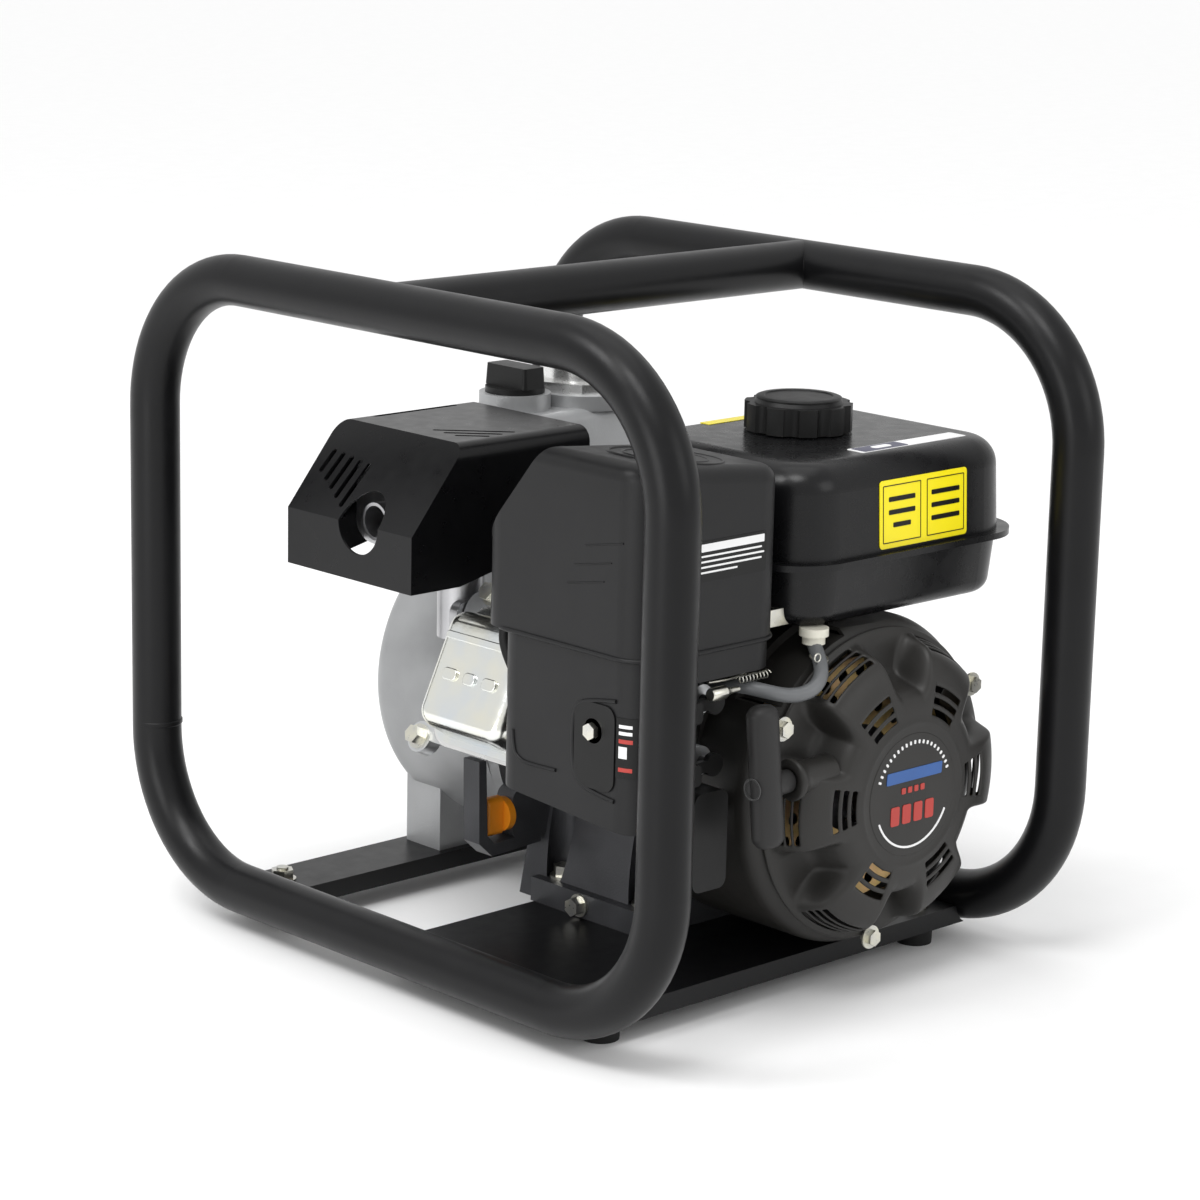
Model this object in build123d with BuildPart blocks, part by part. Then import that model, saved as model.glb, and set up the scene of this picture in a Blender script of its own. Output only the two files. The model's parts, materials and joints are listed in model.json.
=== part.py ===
"""Engine-driven self-priming water pump in a tubular carrying frame.

Millimetres. X runs along the top handle, Y along the crankshaft (recoil starter towards -Y,
pump towards +Y), Z is up. The origin is on the ground, midway between the two frame loops.
"""
import os
from math import cos, radians, sin, tan

from build123d import *

os.makedirs("parts", exist_ok=True)

# ---------------------------------------------------------------- driving dimensions
TUBE_R = 16.0            # outer radius of the frame tube
TUBE_WALL = 2.0
LOOP_X = 175.5           # half the distance between the two loop planes
LOOP_HALF_Y = 237.3      # centre line of the upright tubes
LOOP_LOW_Z = 26.0        # centre line of the bottom tube
LOOP_TOP_Z = 420.5       # centre line of the top tube and of the handle
BEND_R = 90.0

RAIL_TOP = 24.0          # upper face of both cross rails
RAIL_H = 12.0
SHEET = 3.0              # rail sheet thickness
PLATE_Y = (-170.0, 12.0)
PUMP_RAIL_Y = (127.0, 173.0)
FOOT_X = 140.0
FOOT_YS = (-152.0, 150.0)
FOOT_R = 13.0
STUD_R = 4.0
STUD_HOLE_R = 4.1

CRANK_X = 54.0           # crankshaft axis
CRANK_Z = 130.0
BASE_X = (-44.0, 150.0)  # engine base flange
BASE_Y = (-88.0, 15.0)
BASE_T = 16.0
BASE_BOLT_DX = 162.0
BASE_BOLT_DY = 75.5
PTO_FACE_Y = 30.0        # outer face of the crankcase cover

TILT = 25.0              # cylinder axis above the horizontal
CYL_Y = -20.0            # plane of the cylinder axis
BORE_R = 34.0
STROKE = 45.0
HEAD_U = (108.0, 158.0)  # cylinder head, measured along the cylinder axis from the crank
ROCKER_U = 187.0         # outer face of the rocker cover

SHROUD_R = 104.5
SHROUD_Y = (-186.0, -95.0)
RECOIL_FRONT_Y = -220.0
RECOIL_RIM_R = 95.0
LOBES = 6
PULL_Y = -204.0          # starter rope line, parallel to X
PULL_Z = 152.0

PUMP_R = 103.0
PUMP_Z = 140.0
PUMP_Y = (60.0, 172.0)
PORT_R = 29.8            # outside of the G2 pipe thread
PORT_BORE_R = 24.0
PORT_LEN = 20.0
FILLER = (49.0, 140.0)
OUTLET = (112.0, 140.0)
DECK_Z = 318.0           # top of the pump's water chamber

TANK_X = (-18.0, 182.0)
TANK_Y = (-188.0, -18.0)
TANK_Z = (234.0, 333.0)
SEAM_Z = 273.0
CAP_XY = (82.0, -88.0)

AIR_X = (-150.0, -31.0)  # air cleaner
AIR_Y = (-188.0, -61.0)
AIR_SEAM_Z = 236.0
AIR_LOW_Z = 132.0

GUARD_X = (-148.0, 0.0)  # muffler guard
GUARD_Y = (15.0, 135.0)
GUARD_Z = (240.0, 329.0)

RUN = 0.05               # radial running clearance
GAP = 0.5                # clearance between parts that move past each other

UX, UZ = -cos(radians(TILT)), sin(radians(TILT))


def save(block, label):
    """Label one finished piece and write it to its own file."""
    block.part.label = label
    export_step(block.part, f"parts/{label}.step")


def head_plane(u):
    """Plane across the cylinder axis, u from the crank: local x is -Y, local y is up the head."""
    return Plane(
        origin=(CRANK_X + u * UX, CYL_Y, CRANK_Z + u * UZ), x_dir=(0, -1, 0), z_dir=(UX, 0, UZ)
    )


def crank_plane(y):
    """Plane across the crankshaft: local x is +X, local y is +Z, extrusions run towards -Y."""
    return Plane(origin=(CRANK_X, y, CRANK_Z), x_dir=(1, 0, 0), z_dir=(0, -1, 0))


def side_plane(y):
    """Plane at a given Y with local x = X and local y = Z, extrusions run towards -Y."""
    return Plane(origin=(0, y, 0), x_dir=(1, 0, 0), z_dir=(0, -1, 0))


# ---------------------------------------------------------------- frame
def loop_path(x):
    """Corners of one frame loop's centre line in the plane X = x."""
    return [
        (x, LOOP_HALF_Y, LOOP_LOW_Z),
        (x, LOOP_HALF_Y, LOOP_TOP_Z),
        (x, -LOOP_HALF_Y, LOOP_TOP_Z),
        (x, -LOOP_HALF_Y, LOOP_LOW_Z),
    ]


for loop_name, loop_x in (("near_loop", -LOOP_X), ("far_loop", LOOP_X)):
    with BuildPart() as frame_loop:
        with BuildLine() as centre_line:
            FilletPolyline(*loop_path(loop_x), radius=BEND_R, close=True)
        with BuildSketch(Plane(origin=centre_line.line @ 0, x_dir=(1, 0, 0), z_dir=centre_line.line % 0)):
            Circle(TUBE_R)
            Circle(TUBE_R - TUBE_WALL, mode=Mode.SUBTRACT)
        sweep(path=centre_line.line)
    save(frame_loop, loop_name)

with BuildPart() as top_handle:
    with BuildSketch(Plane.YZ.offset(-LOOP_X)):
        with Locations((0, LOOP_TOP_Z)):
            Circle(TUBE_R)
            Circle(TUBE_R - TUBE_WALL, mode=Mode.SUBTRACT)
    extrude(amount=2 * LOOP_X)
    with Locations((-LOOP_X, 0, LOOP_TOP_Z), (LOOP_X, 0, LOOP_TOP_Z)):
        Cylinder(TUBE_R, 4 * TUBE_R, rotation=(90, 0, 0), mode=Mode.SUBTRACT)
save(top_handle, "top_handle")

base_bolt_centre = ((BASE_X[0] + BASE_X[1]) / 2, (BASE_Y[0] + BASE_Y[1]) / 2)


def rail_channel(y_range):
    """Solid of a downward channel between the loops, added to the open part block."""
    length = 2 * (LOOP_X - TUBE_R / 2)
    middle = (y_range[0] + y_range[1]) / 2
    width = y_range[1] - y_range[0]
    with Locations((0, middle, RAIL_TOP - RAIL_H / 2)):
        Box(length, width, RAIL_H)
    with Locations((0, middle, RAIL_TOP - SHEET - RAIL_H / 2)):
        Box(length, width - 2 * SHEET, RAIL_H, mode=Mode.SUBTRACT)
    with Locations((-LOOP_X, middle, LOOP_LOW_Z), (LOOP_X, middle, LOOP_LOW_Z)):
        Cylinder(TUBE_R, 2 * width, rotation=(90, 0, 0), mode=Mode.SUBTRACT)


with BuildPart() as engine_plate:
    rail_channel(PLATE_Y)
    with Locations((0, FOOT_YS[0], RAIL_TOP)):
        with GridLocations(2 * FOOT_X, 0, 2, 1):
            Hole(STUD_HOLE_R)
    with Locations((*base_bolt_centre, RAIL_TOP)):
        with GridLocations(BASE_BOLT_DX, BASE_BOLT_DY, 2, 2):
            Hole(STUD_HOLE_R)
save(engine_plate, "engine_plate")

with BuildPart() as pump_rail:
    rail_channel(PUMP_RAIL_Y)
    with Locations((0, FOOT_YS[1], RAIL_TOP)):
        with GridLocations(2 * FOOT_X, 0, 2, 1):
            Hole(STUD_HOLE_R)
save(pump_rail, "pump_rail")

foot_spots = [(x, y) for x in (-FOOT_X, FOOT_X) for y in FOOT_YS]
FOOT_TOP = RAIL_TOP - SHEET

with BuildPart() as rubber_feet:
    with BuildSketch():
        with Locations(*foot_spots):
            Circle(FOOT_R - 1.5)
    extrude(amount=FOOT_TOP, taper=-2)
    with BuildSketch(Plane.XY.offset(4)):
        with Locations(*foot_spots):
            Circle(STUD_HOLE_R)
    extrude(amount=FOOT_TOP, mode=Mode.SUBTRACT)
save(rubber_feet, "rubber_feet")

with BuildPart() as foot_bolts:
    with BuildSketch(Plane.XY.offset(5)):
        with Locations(*foot_spots):
            Circle(STUD_R)
    extrude(amount=RAIL_TOP + 9 - 5)
    with BuildSketch(Plane.XY.offset(RAIL_TOP)):
        with Locations(*foot_spots):
            Circle(9)
    extrude(amount=1.5)
    with BuildSketch(Plane.XY.offset(RAIL_TOP + 1.5)):
        with Locations(*foot_spots):
            RegularPolygon(7.5, 6)
    extrude(amount=6)
save(foot_bolts, "foot_bolts")

# ---------------------------------------------------------------- crankcase and cylinder
CASE_TOP = CRANK_Z + 62
CAVITY_R = 50.0
BEARING_R = 24.0
MAIN_R = 15.0
WEB_R = 36.5
FIN_T = 2.5
TANK_POST_Y = -34.0


def case_outline():
    """Outline of the crankcase across the crankshaft, drawn in the open line block."""
    Polyline(
        (BASE_X[0] + 4, RAIL_TOP + 1),
        (BASE_X[1] - 4, RAIL_TOP + 1),
        (BASE_X[1] - 12, CRANK_Z - 45),
        (BASE_X[1] - 24, CRANK_Z + 20),
        (CRANK_X + 42, CASE_TOP),
        (CRANK_X - 26, CASE_TOP),
        (CRANK_X - 66, CRANK_Z + 6),
        (CRANK_X - 82, CRANK_Z - 45),
        close=True,
    )


with BuildPart() as crankcase:
    with BuildSketch(side_plane(BASE_Y[1])):
        with BuildLine():
            case_outline()
        make_face()
    extrude(amount=BASE_Y[1] - BASE_Y[0])
    with Locations((*base_bolt_centre, RAIL_TOP + BASE_T / 2)):
        Box(BASE_X[1] - BASE_X[0], BASE_Y[1] - BASE_Y[0], BASE_T)
    with BuildSketch(head_plane(40)):
        Circle(BORE_R + 9)
    extrude(amount=HEAD_U[0] - 40)
    with BuildSketch(Plane.XY.offset(CASE_TOP - 4)):
        with Locations((CRANK_X - 14, TANK_POST_Y), (CRANK_X + 34, TANK_POST_Y)):
            Circle(9)
    extrude(amount=TANK_Z[0] - CASE_TOP + 4)
    for fin in range(6):
        with BuildSketch(head_plane(66 + 7 * fin)):
            RectangleRounded(98, 96, 10)
        extrude(amount=FIN_T)
    with BuildSketch(crank_plane(BASE_Y[1])):
        Circle(CAVITY_R)
    extrude(amount=BASE_Y[1] - BASE_Y[0] - 14, mode=Mode.SUBTRACT)
    with BuildSketch(crank_plane(BASE_Y[1])):
        Circle(BEARING_R)
    extrude(amount=BASE_Y[1] - BASE_Y[0], mode=Mode.SUBTRACT)
    with BuildSketch(head_plane(0)):
        Circle(BORE_R)
    extrude(amount=HEAD_U[0], mode=Mode.SUBTRACT)
    with BuildSketch(Plane.XY.offset(RAIL_TOP)):
        with Locations(base_bolt_centre):
            with GridLocations(BASE_BOLT_DX, BASE_BOLT_DY, 2, 2):
                Circle(STUD_HOLE_R)
    extrude(amount=60, mode=Mode.SUBTRACT)
    with BuildSketch(Plane.XY.offset(RAIL_TOP + BASE_T)):
        with Locations(base_bolt_centre):
            with GridLocations(BASE_BOLT_DX, BASE_BOLT_DY, 2, 2):
                Circle(11)
    extrude(amount=60, mode=Mode.SUBTRACT)
save(crankcase, "crankcase")

FILLER_X = 112.0         # oil fillers, either side of the crank
FILLER_Z = 84.0

with BuildPart() as crankcase_cover:
    with BuildSketch(side_plane(PTO_FACE_Y)):
        with BuildLine():
            case_outline()
        make_face()
        with Locations((CRANK_X - 92, FILLER_Z), (CRANK_X + 92, FILLER_Z)):
            RectangleRounded(46, 34, 8)
        with BuildLine():
            Polyline(
                (CRANK_X - 144, CRANK_Z - 6),
                (CRANK_X - 138, CRANK_Z - 6),
                (CRANK_X - 136, FILLER_Z - 10),
                (CRANK_X - 130, FILLER_Z - 16),
                (CRANK_X - 90, FILLER_Z - 14),
                (CRANK_X - 90, FILLER_Z - 22),
                (CRANK_X - 132, FILLER_Z - 24),
                (CRANK_X - 143, FILLER_Z - 14),
                close=True,
            )
        make_face()
    extrude(amount=PTO_FACE_Y - BASE_Y[1])
    with BuildSketch(crank_plane(PTO_FACE_Y)):
        Circle(BEARING_R)
    extrude(amount=20, mode=Mode.SUBTRACT)
    with BuildSketch(head_plane(30)):
        Rectangle(100, 99)
    extrude(amount=90, mode=Mode.SUBTRACT)
    for turn in (-1, 1):
        with BuildSketch(Plane(
            origin=(CRANK_X + turn * (FILLER_X + 4), 22.5, FILLER_Z), z_dir=(-turn, 0, 0)
        )):
            Circle(6.2)
        extrude(amount=40, mode=Mode.SUBTRACT)
save(crankcase_cover, "crankcase_cover")

with BuildPart() as base_bolts:
    with BuildSketch(Plane.XY.offset(RAIL_TOP - SHEET - 8)):
        with Locations(base_bolt_centre):
            with GridLocations(BASE_BOLT_DX, BASE_BOLT_DY, 2, 2):
                Circle(STUD_R)
    extrude(amount=SHEET + BASE_T + 8)
    with BuildSketch(Plane.XY.offset(RAIL_TOP + BASE_T)):
        with Locations(base_bolt_centre):
            with GridLocations(BASE_BOLT_DX, BASE_BOLT_DY, 2, 2):
                Circle(9)
    extrude(amount=1.6)
    with BuildSketch(Plane.XY.offset(RAIL_TOP + BASE_T + 1.6)):
        with Locations(base_bolt_centre):
            with GridLocations(BASE_BOLT_DX, BASE_BOLT_DY, 2, 2):
                RegularPolygon(7, 6)
    extrude(amount=6.4)
save(base_bolts, "base_bolts")

DRAIN_Y, DRAIN_Z = -31.0, RAIL_TOP + BASE_T / 2

with BuildPart() as oil_drain_plug:
    with BuildSketch(Plane(origin=(BASE_X[0], DRAIN_Y, DRAIN_Z), z_dir=(-1, 0, 0))):
        Circle(7.5)
    extrude(amount=1.5)
    with BuildSketch(Plane(origin=(BASE_X[0] - 1.5, DRAIN_Y, DRAIN_Z), z_dir=(-1, 0, 0))):
        RegularPolygon(6, 6)
    extrude(amount=6.5)
save(oil_drain_plug, "oil_drain_plug")


def oil_cap(side):
    """Oil filler cap with a flat grip; side -1 is the left one, +1 the right one."""
    seat = CRANK_X + side * (FILLER_X + 3)
    outward = (side, 0, 0)
    with BuildPart() as cap:
        with BuildSketch(Plane(origin=(seat, 22.5, FILLER_Z), z_dir=outward)):
            Circle(11)
        extrude(amount=5)
        with BuildSketch(Plane(origin=(seat + side * 5, 22.5, FILLER_Z), x_dir=(0, 1, 0), z_dir=outward)):
            RectangleRounded(9, 25, 3.5)
        extrude(amount=13)
        with BuildSketch(Plane(origin=(seat, 22.5, FILLER_Z), z_dir=(-side, 0, 0))):
            Circle(6.2 - RUN)
        extrude(amount=26)
        fillet(cap.faces().filter_by(Axis.X).sort_by(Axis.X)[-1 if side > 0 else 0].edges(), 1.5)
    return cap


for cap_name, cap_side in (("oil_filler_cap", -1), ("oil_dipstick_cap", 1)):
    oil_cap_piece = oil_cap(cap_side)
    save(oil_cap_piece, cap_name)

HEAD_BOLTS = [(-63, -63), (50, -63), (-42, 36), (50, 36)]

with BuildPart() as cylinder_head:
    with BuildSketch(head_plane(HEAD_U[0])):
        with Locations((-6, -10)):
            RectangleRounded(112, 96, 12)
    extrude(amount=14)
    with BuildSketch(head_plane(HEAD_U[0] + 14)):
        with Locations((-6, -10)):
            RectangleRounded(84, 84, 10)
    extrude(amount=HEAD_U[1] - HEAD_U[0] - 24)
    for fin in range(3):
        with BuildSketch(head_plane(HEAD_U[0] + 18 + 6 * fin)):
            with Locations((-6, -10)):
                RectangleRounded(112, 94, 12)
        extrude(amount=FIN_T)
    with BuildSketch(head_plane(HEAD_U[1] - 10)):
        with Locations((-6, -14)):
            RectangleRounded(112, 100, 12)
        with Locations(*HEAD_BOLTS):
            Circle(10)
    extrude(amount=10)
    with BuildSketch(head_plane(HEAD_U[1])):
        with Locations((-6, -18)):
            RectangleRounded(72, 66, 8)
    extrude(amount=-26, mode=Mode.SUBTRACT)
    with BuildSketch(head_plane(HEAD_U[1])):
        with Locations(*HEAD_BOLTS):
            Circle(4.1)
    extrude(amount=-10, mode=Mode.SUBTRACT)
    with BuildSketch(head_plane(HEAD_U[0])):
        Circle(BORE_R - 3)
    extrude(amount=12, mode=Mode.SUBTRACT)
save(cylinder_head, "cylinder_head")

with BuildPart() as head_bolts:
    with BuildSketch(head_plane(HEAD_U[1])):
        with Locations(*HEAD_BOLTS):
            Circle(8)
    extrude(amount=1.6)
    with BuildSketch(head_plane(HEAD_U[1] + 1.6)):
        with Locations(*HEAD_BOLTS):
            RegularPolygon(6, 6)
    extrude(amount=6)
    with BuildSketch(head_plane(HEAD_U[1])):
        with Locations(*HEAD_BOLTS):
            Circle(4)
    extrude(amount=-10)
save(head_bolts, "head_bolts")

ROCKER_CENTRE = (-6.0, -18.0)   # local x, y of the rocker cover on the head
ROCKER_SIZE = (82.0, 80.0)

with BuildPart() as rocker_cover:
    with BuildSketch(head_plane(HEAD_U[1])):
        with Locations(ROCKER_CENTRE):
            RectangleRounded(ROCKER_SIZE[0] + 8, ROCKER_SIZE[1] + 8, 14)
    extrude(amount=2.5)
    with BuildSketch(head_plane(HEAD_U[1] + 2.5)):
        with Locations(ROCKER_CENTRE):
            RectangleRounded(*ROCKER_SIZE, 14)
    extrude(amount=ROCKER_U - HEAD_U[1] - 2.5, taper=8)
    fillet(rocker_cover.faces().sort_by(Axis((0, 0, 0), (UX, 0, UZ)))[-1].edges(), 9)
    with BuildSketch(head_plane(HEAD_U[1])):
        with Locations(ROCKER_CENTRE):
            RectangleRounded(ROCKER_SIZE[0] - 12, ROCKER_SIZE[1] - 12, 10)
    extrude(amount=ROCKER_U - HEAD_U[1] - 5, taper=8, mode=Mode.SUBTRACT)
save(rocker_cover, "rocker_cover")

# ---------------------------------------------------------------- moving engine parts
PIN_R = 13.0
ROD_L = 70.0
CRANK_PIN_U = -STROKE / 2        # the piston rests at the bottom of its stroke
CROWN_U = CRANK_PIN_U + ROD_L + 15
WRIST_U = CRANK_PIN_U + ROD_L
WRIST_R = 6.0
ROD_W = 20.0

with BuildPart() as piston:
    with BuildSketch(head_plane(CROWN_U)):
        Circle(BORE_R - RUN)
    extrude(amount=-25)
    with BuildSketch(head_plane(CROWN_U - 5)):
        Circle(BORE_R - 5)
    extrude(amount=-20, mode=Mode.SUBTRACT)
    with BuildSketch(Plane(origin=head_plane(WRIST_U).origin, z_dir=(0, 1, 0))):
        Circle(WRIST_R + 3)
    extrude(amount=BORE_R - 4, both=True)
    with BuildSketch(Plane(origin=head_plane(WRIST_U).origin, z_dir=(0, 1, 0))):
        Circle(WRIST_R + RUN)
    extrude(amount=BORE_R, both=True, mode=Mode.SUBTRACT)
    with BuildSketch(Plane(origin=head_plane(WRIST_U).origin, z_dir=(0, 1, 0))):
        Circle(WRIST_R + 3.6)
    extrude(amount=ROD_W / 2 + GAP, both=True, mode=Mode.SUBTRACT)
save(piston, "piston")

with BuildPart() as connecting_rod:
    with BuildSketch(Plane(origin=head_plane(WRIST_U).origin, z_dir=(0, 1, 0))):
        Circle(WRIST_R + 3)
    extrude(amount=ROD_W / 2, both=True)
    with BuildSketch(Plane(origin=head_plane(CRANK_PIN_U).origin, z_dir=(0, 1, 0))):
        Circle(PIN_R + 6)
    extrude(amount=ROD_W / 2, both=True)
    with BuildSketch(head_plane(CRANK_PIN_U + PIN_R)):
        Rectangle(12, 14)
    extrude(amount=ROD_L - PIN_R - WRIST_R)
    with BuildSketch(Plane(origin=head_plane(WRIST_U).origin, z_dir=(0, 1, 0))):
        Circle(WRIST_R)
    extrude(amount=BORE_R - 8, both=True)
save(connecting_rod, "connecting_rod")

FLYWHEEL_Y = (-122.0, -98.0)
FLYWHEEL_R = 80.0
FAN_Y = (-148.0, FLYWHEEL_Y[0])
FAN_R = 84.0
CUP_Y = (-172.0, FLYWHEEL_Y[0])
CUP_R = 40.0
TAPER_R = 11.0
IMPELLER_Y = (84.0, 112.0)
IMPELLER_R = 60.0
PTO_R = 9.5

with BuildPart() as crankshaft:
    with BuildSketch(crank_plane(CYL_Y + ROD_W / 2 + GAP + 14)):
        Circle(WEB_R)
    extrude(amount=14)
    with BuildSketch(crank_plane(CYL_Y - ROD_W / 2 - GAP)):
        Circle(WEB_R)
    extrude(amount=14)
    with BuildSketch(crank_plane(PTO_FACE_Y)):
        Circle(MAIN_R)
    extrude(amount=PTO_FACE_Y - CYL_Y - ROD_W / 2 - GAP)
    with BuildSketch(crank_plane(CYL_Y - ROD_W / 2 - GAP)):
        Circle(MAIN_R)
    extrude(amount=CYL_Y - ROD_W / 2 - GAP - BASE_Y[0])
    with BuildSketch(crank_plane(BASE_Y[0])):
        Circle(TAPER_R)
    extrude(amount=BASE_Y[0] - CUP_Y[0] - 12)
    with BuildSketch(crank_plane(IMPELLER_Y[1] - 4)):
        Circle(PTO_R)
    extrude(amount=IMPELLER_Y[1] - 4 - PTO_FACE_Y)
save(crankshaft, "crankshaft")

BEARING_W = 13.0
BEARING_FACES = (BASE_Y[0] + BEARING_W, PTO_FACE_Y - 2)

with BuildPart() as main_bearings:
    for groove_y in BEARING_FACES:
        with BuildSketch(crank_plane(groove_y)):
            Circle(BEARING_R)
            Circle(MAIN_R + RUN, mode=Mode.SUBTRACT)
        extrude(amount=BEARING_W)
        with BuildSketch(crank_plane(groove_y)):
            Circle(21.5)
            Circle(17.5 + RUN, mode=Mode.SUBTRACT)
        extrude(amount=1.5, mode=Mode.SUBTRACT)
save(main_bearings, "main_bearings")

with BuildPart() as flywheel:
    with BuildSketch(crank_plane(FLYWHEEL_Y[1])):
        Circle(FLYWHEEL_R)
        Circle(TAPER_R, mode=Mode.SUBTRACT)
    extrude(amount=FLYWHEEL_Y[1] - FLYWHEEL_Y[0])
    with BuildSketch(crank_plane(FLYWHEEL_Y[1])):
        Circle(FLYWHEEL_R - 12)
        Circle(30, mode=Mode.SUBTRACT)
    extrude(amount=12, mode=Mode.SUBTRACT)
save(flywheel, "flywheel")

FAN_BLADES = 18

with BuildPart() as cooling_fan:
    with BuildSketch(crank_plane(FAN_Y[1])):
        Circle(FAN_R)
        Circle(CUP_R + GAP, mode=Mode.SUBTRACT)
    extrude(amount=3)
    with BuildSketch(crank_plane(FAN_Y[1] - 3)):
        with PolarLocations(64, FAN_BLADES):
            SlotCenterToCenter(30, 2.4, rotation=32)
    extrude(amount=FAN_Y[1] - FAN_Y[0] - 3)
save(cooling_fan, "cooling_fan")

with BuildPart() as starter_cup:
    with BuildSketch(crank_plane(CUP_Y[1])):
        Circle(CUP_R)
        Circle(TAPER_R, mode=Mode.SUBTRACT)
    extrude(amount=CUP_Y[1] - CUP_Y[0])
    with BuildSketch(crank_plane(CUP_Y[1] - 3)):
        Circle(CUP_R - 3)
    extrude(amount=CUP_Y[1] - CUP_Y[0], mode=Mode.SUBTRACT)
    with BuildSketch(crank_plane(CUP_Y[0] + 20)):
        with PolarLocations(CUP_R - 2, 6):
            Circle(5)
    extrude(amount=12, mode=Mode.SUBTRACT)
save(starter_cup, "starter_cup")

SCREEN_R = 78.0

with BuildPart() as fan_screen:
    with BuildSketch(crank_plane(CUP_Y[0])):
        Circle(SCREEN_R)
        Circle(CUP_R - 6, mode=Mode.SUBTRACT)
        for ring in range(3):
            with PolarLocations(CUP_R + 7 + 11 * ring, 16 + 6 * ring):
                Circle(4, mode=Mode.SUBTRACT)
    extrude(amount=1.5)
    with BuildSketch(crank_plane(FAN_Y[0])):
        Circle(SCREEN_R)
        Circle(SCREEN_R - 2, mode=Mode.SUBTRACT)
    extrude(amount=FAN_Y[0] - CUP_Y[0])
save(fan_screen, "fan_screen")

with BuildPart() as ignition_coil:
    with BuildSketch(crank_plane(-100)):
        with PolarLocations(FLYWHEEL_R + 9, 1, start_angle=60):
            Rectangle(14, 44)
    extrude(amount=20)
    with BuildSketch(crank_plane(-99)):
        Circle(FLYWHEEL_R + 0.6)
    extrude(amount=24, mode=Mode.SUBTRACT)
save(ignition_coil, "ignition_coil")

# ---------------------------------------------------------------- shroud and recoil starter
SHROUD_T = 2.5
MOUTH_R = 90.0
DUCT_DEPTH = 40.0
DUCT_REACH = 100.0
DUCT_TOP = CRANK_Z + 92
THROTTLE_AXIS = (-22.0, -115.0)
THROTTLE_PIN_R = 4.0
SHROUD_TOP = CRANK_Z + 100
HOSE_POCKET_Y = -150.0


def shroud_solid(inset):
    """Solid of the blower housing, shrunk by the inset: a drum run into the duct."""
    with BuildPart() as drum:
        with BuildSketch(crank_plane(SHROUD_Y[1])):
            Circle(SHROUD_R - inset)
        extrude(amount=SHROUD_Y[1] - SHROUD_Y[0] - inset)
        fillet(drum.faces().sort_by(Axis.Y)[0].edges(), 16 - inset)
        with BuildSketch(crank_plane(SHROUD_Y[1])):
            with BuildLine():
                Polyline(
                    (-DUCT_REACH + inset, 0),
                    (-DUCT_REACH + inset, 48 - inset / 2),
                    (-58 + inset / 2, 92 - inset),
                    (62 - inset, 92 - inset),
                    (62 - inset, 0),
                    close=True,
                )
            make_face()
        extrude(amount=DUCT_DEPTH - inset)
        with Locations((CRANK_X, sum(SHROUD_Y) / 2, SHROUD_TOP - inset + 50)):
            Box(4 * SHROUD_R, 2 * SHROUD_R, 100, mode=Mode.SUBTRACT)
        with BuildSketch(crank_plane(HOSE_POCKET_Y + inset)):
            with Locations((-70, 90)):
                Rectangle(90, 60)
            Circle(MOUTH_R + 9 - inset, mode=Mode.SUBTRACT)
        extrude(amount=60, mode=Mode.SUBTRACT)
    return drum.part


shroud_outside = shroud_solid(0)
shroud_inside = shroud_solid(SHROUD_T)

with BuildPart() as blower_housing:
    add(shroud_outside)
    add(shroud_inside, mode=Mode.SUBTRACT)
    with BuildSketch(crank_plane(SHROUD_Y[1])):
        Circle(MOUTH_R)
    extrude(amount=SHROUD_Y[1] - SHROUD_Y[0], mode=Mode.SUBTRACT)
    with BuildSketch(Plane.XY.offset(DUCT_TOP)):
        with Locations(THROTTLE_AXIS):
            Circle(THROTTLE_PIN_R + RUN)
    extrude(amount=-10, mode=Mode.SUBTRACT)
save(blower_housing, "blower_housing")

RECOIL_T = 2.5
SCALLOP_FLOOR = 4.0


def recoil_dish(inset):
    """Solid dish of the recoil cover, shrunk by the inset: its sides are scalloped in the gaps."""
    with BuildPart() as dish:
        with BuildSketch(Plane(origin=(CRANK_X, 0, CRANK_Z), x_dir=(1, 0, 0), z_dir=(0, 0, -1))):
            with BuildLine():
                Polyline(
                    (0, -RECOIL_FRONT_Y - inset),
                    (62 - inset / 2, -RECOIL_FRONT_Y - inset),
                    (84 - inset, -RECOIL_FRONT_Y - 9 - inset / 2),
                    (RECOIL_RIM_R - inset, -RECOIL_FRONT_Y - 22),
                    (RECOIL_RIM_R - inset, -SHROUD_Y[0]),
                    (0, -SHROUD_Y[0]),
                    close=True,
                )
            make_face()
        revolve(axis=Axis((CRANK_X, 0, CRANK_Z), (0, 1, 0)))
        with BuildSketch(crank_plane(SHROUD_Y[0] - SCALLOP_FLOOR + inset)):
            with PolarLocations(RECOIL_RIM_R + 8, LOBES, start_angle=180 / LOBES):
                SlotOverall(56 + 2 * inset, 22 + 2 * inset)
        extrude(amount=60, mode=Mode.SUBTRACT)
    return dish.part


dish_outside = recoil_dish(0)
dish_inside = recoil_dish(RECOIL_T)

RECOIL_BOLT_PCR = RECOIL_RIM_R + 4
RECOIL_BOLT_ANGLE = 30.0
POST_R = 9.0
EYE_R = 4.0
EYE_X = -40.0
FRONT_SLOTS = [CenterArc((0, 0), slot_r, -9, 18) for slot_r in (50, 57, 64)]
SIDE_SLOT = CenterArc((0, 0), RECOIL_RIM_R - 4, -9, 18)

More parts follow.
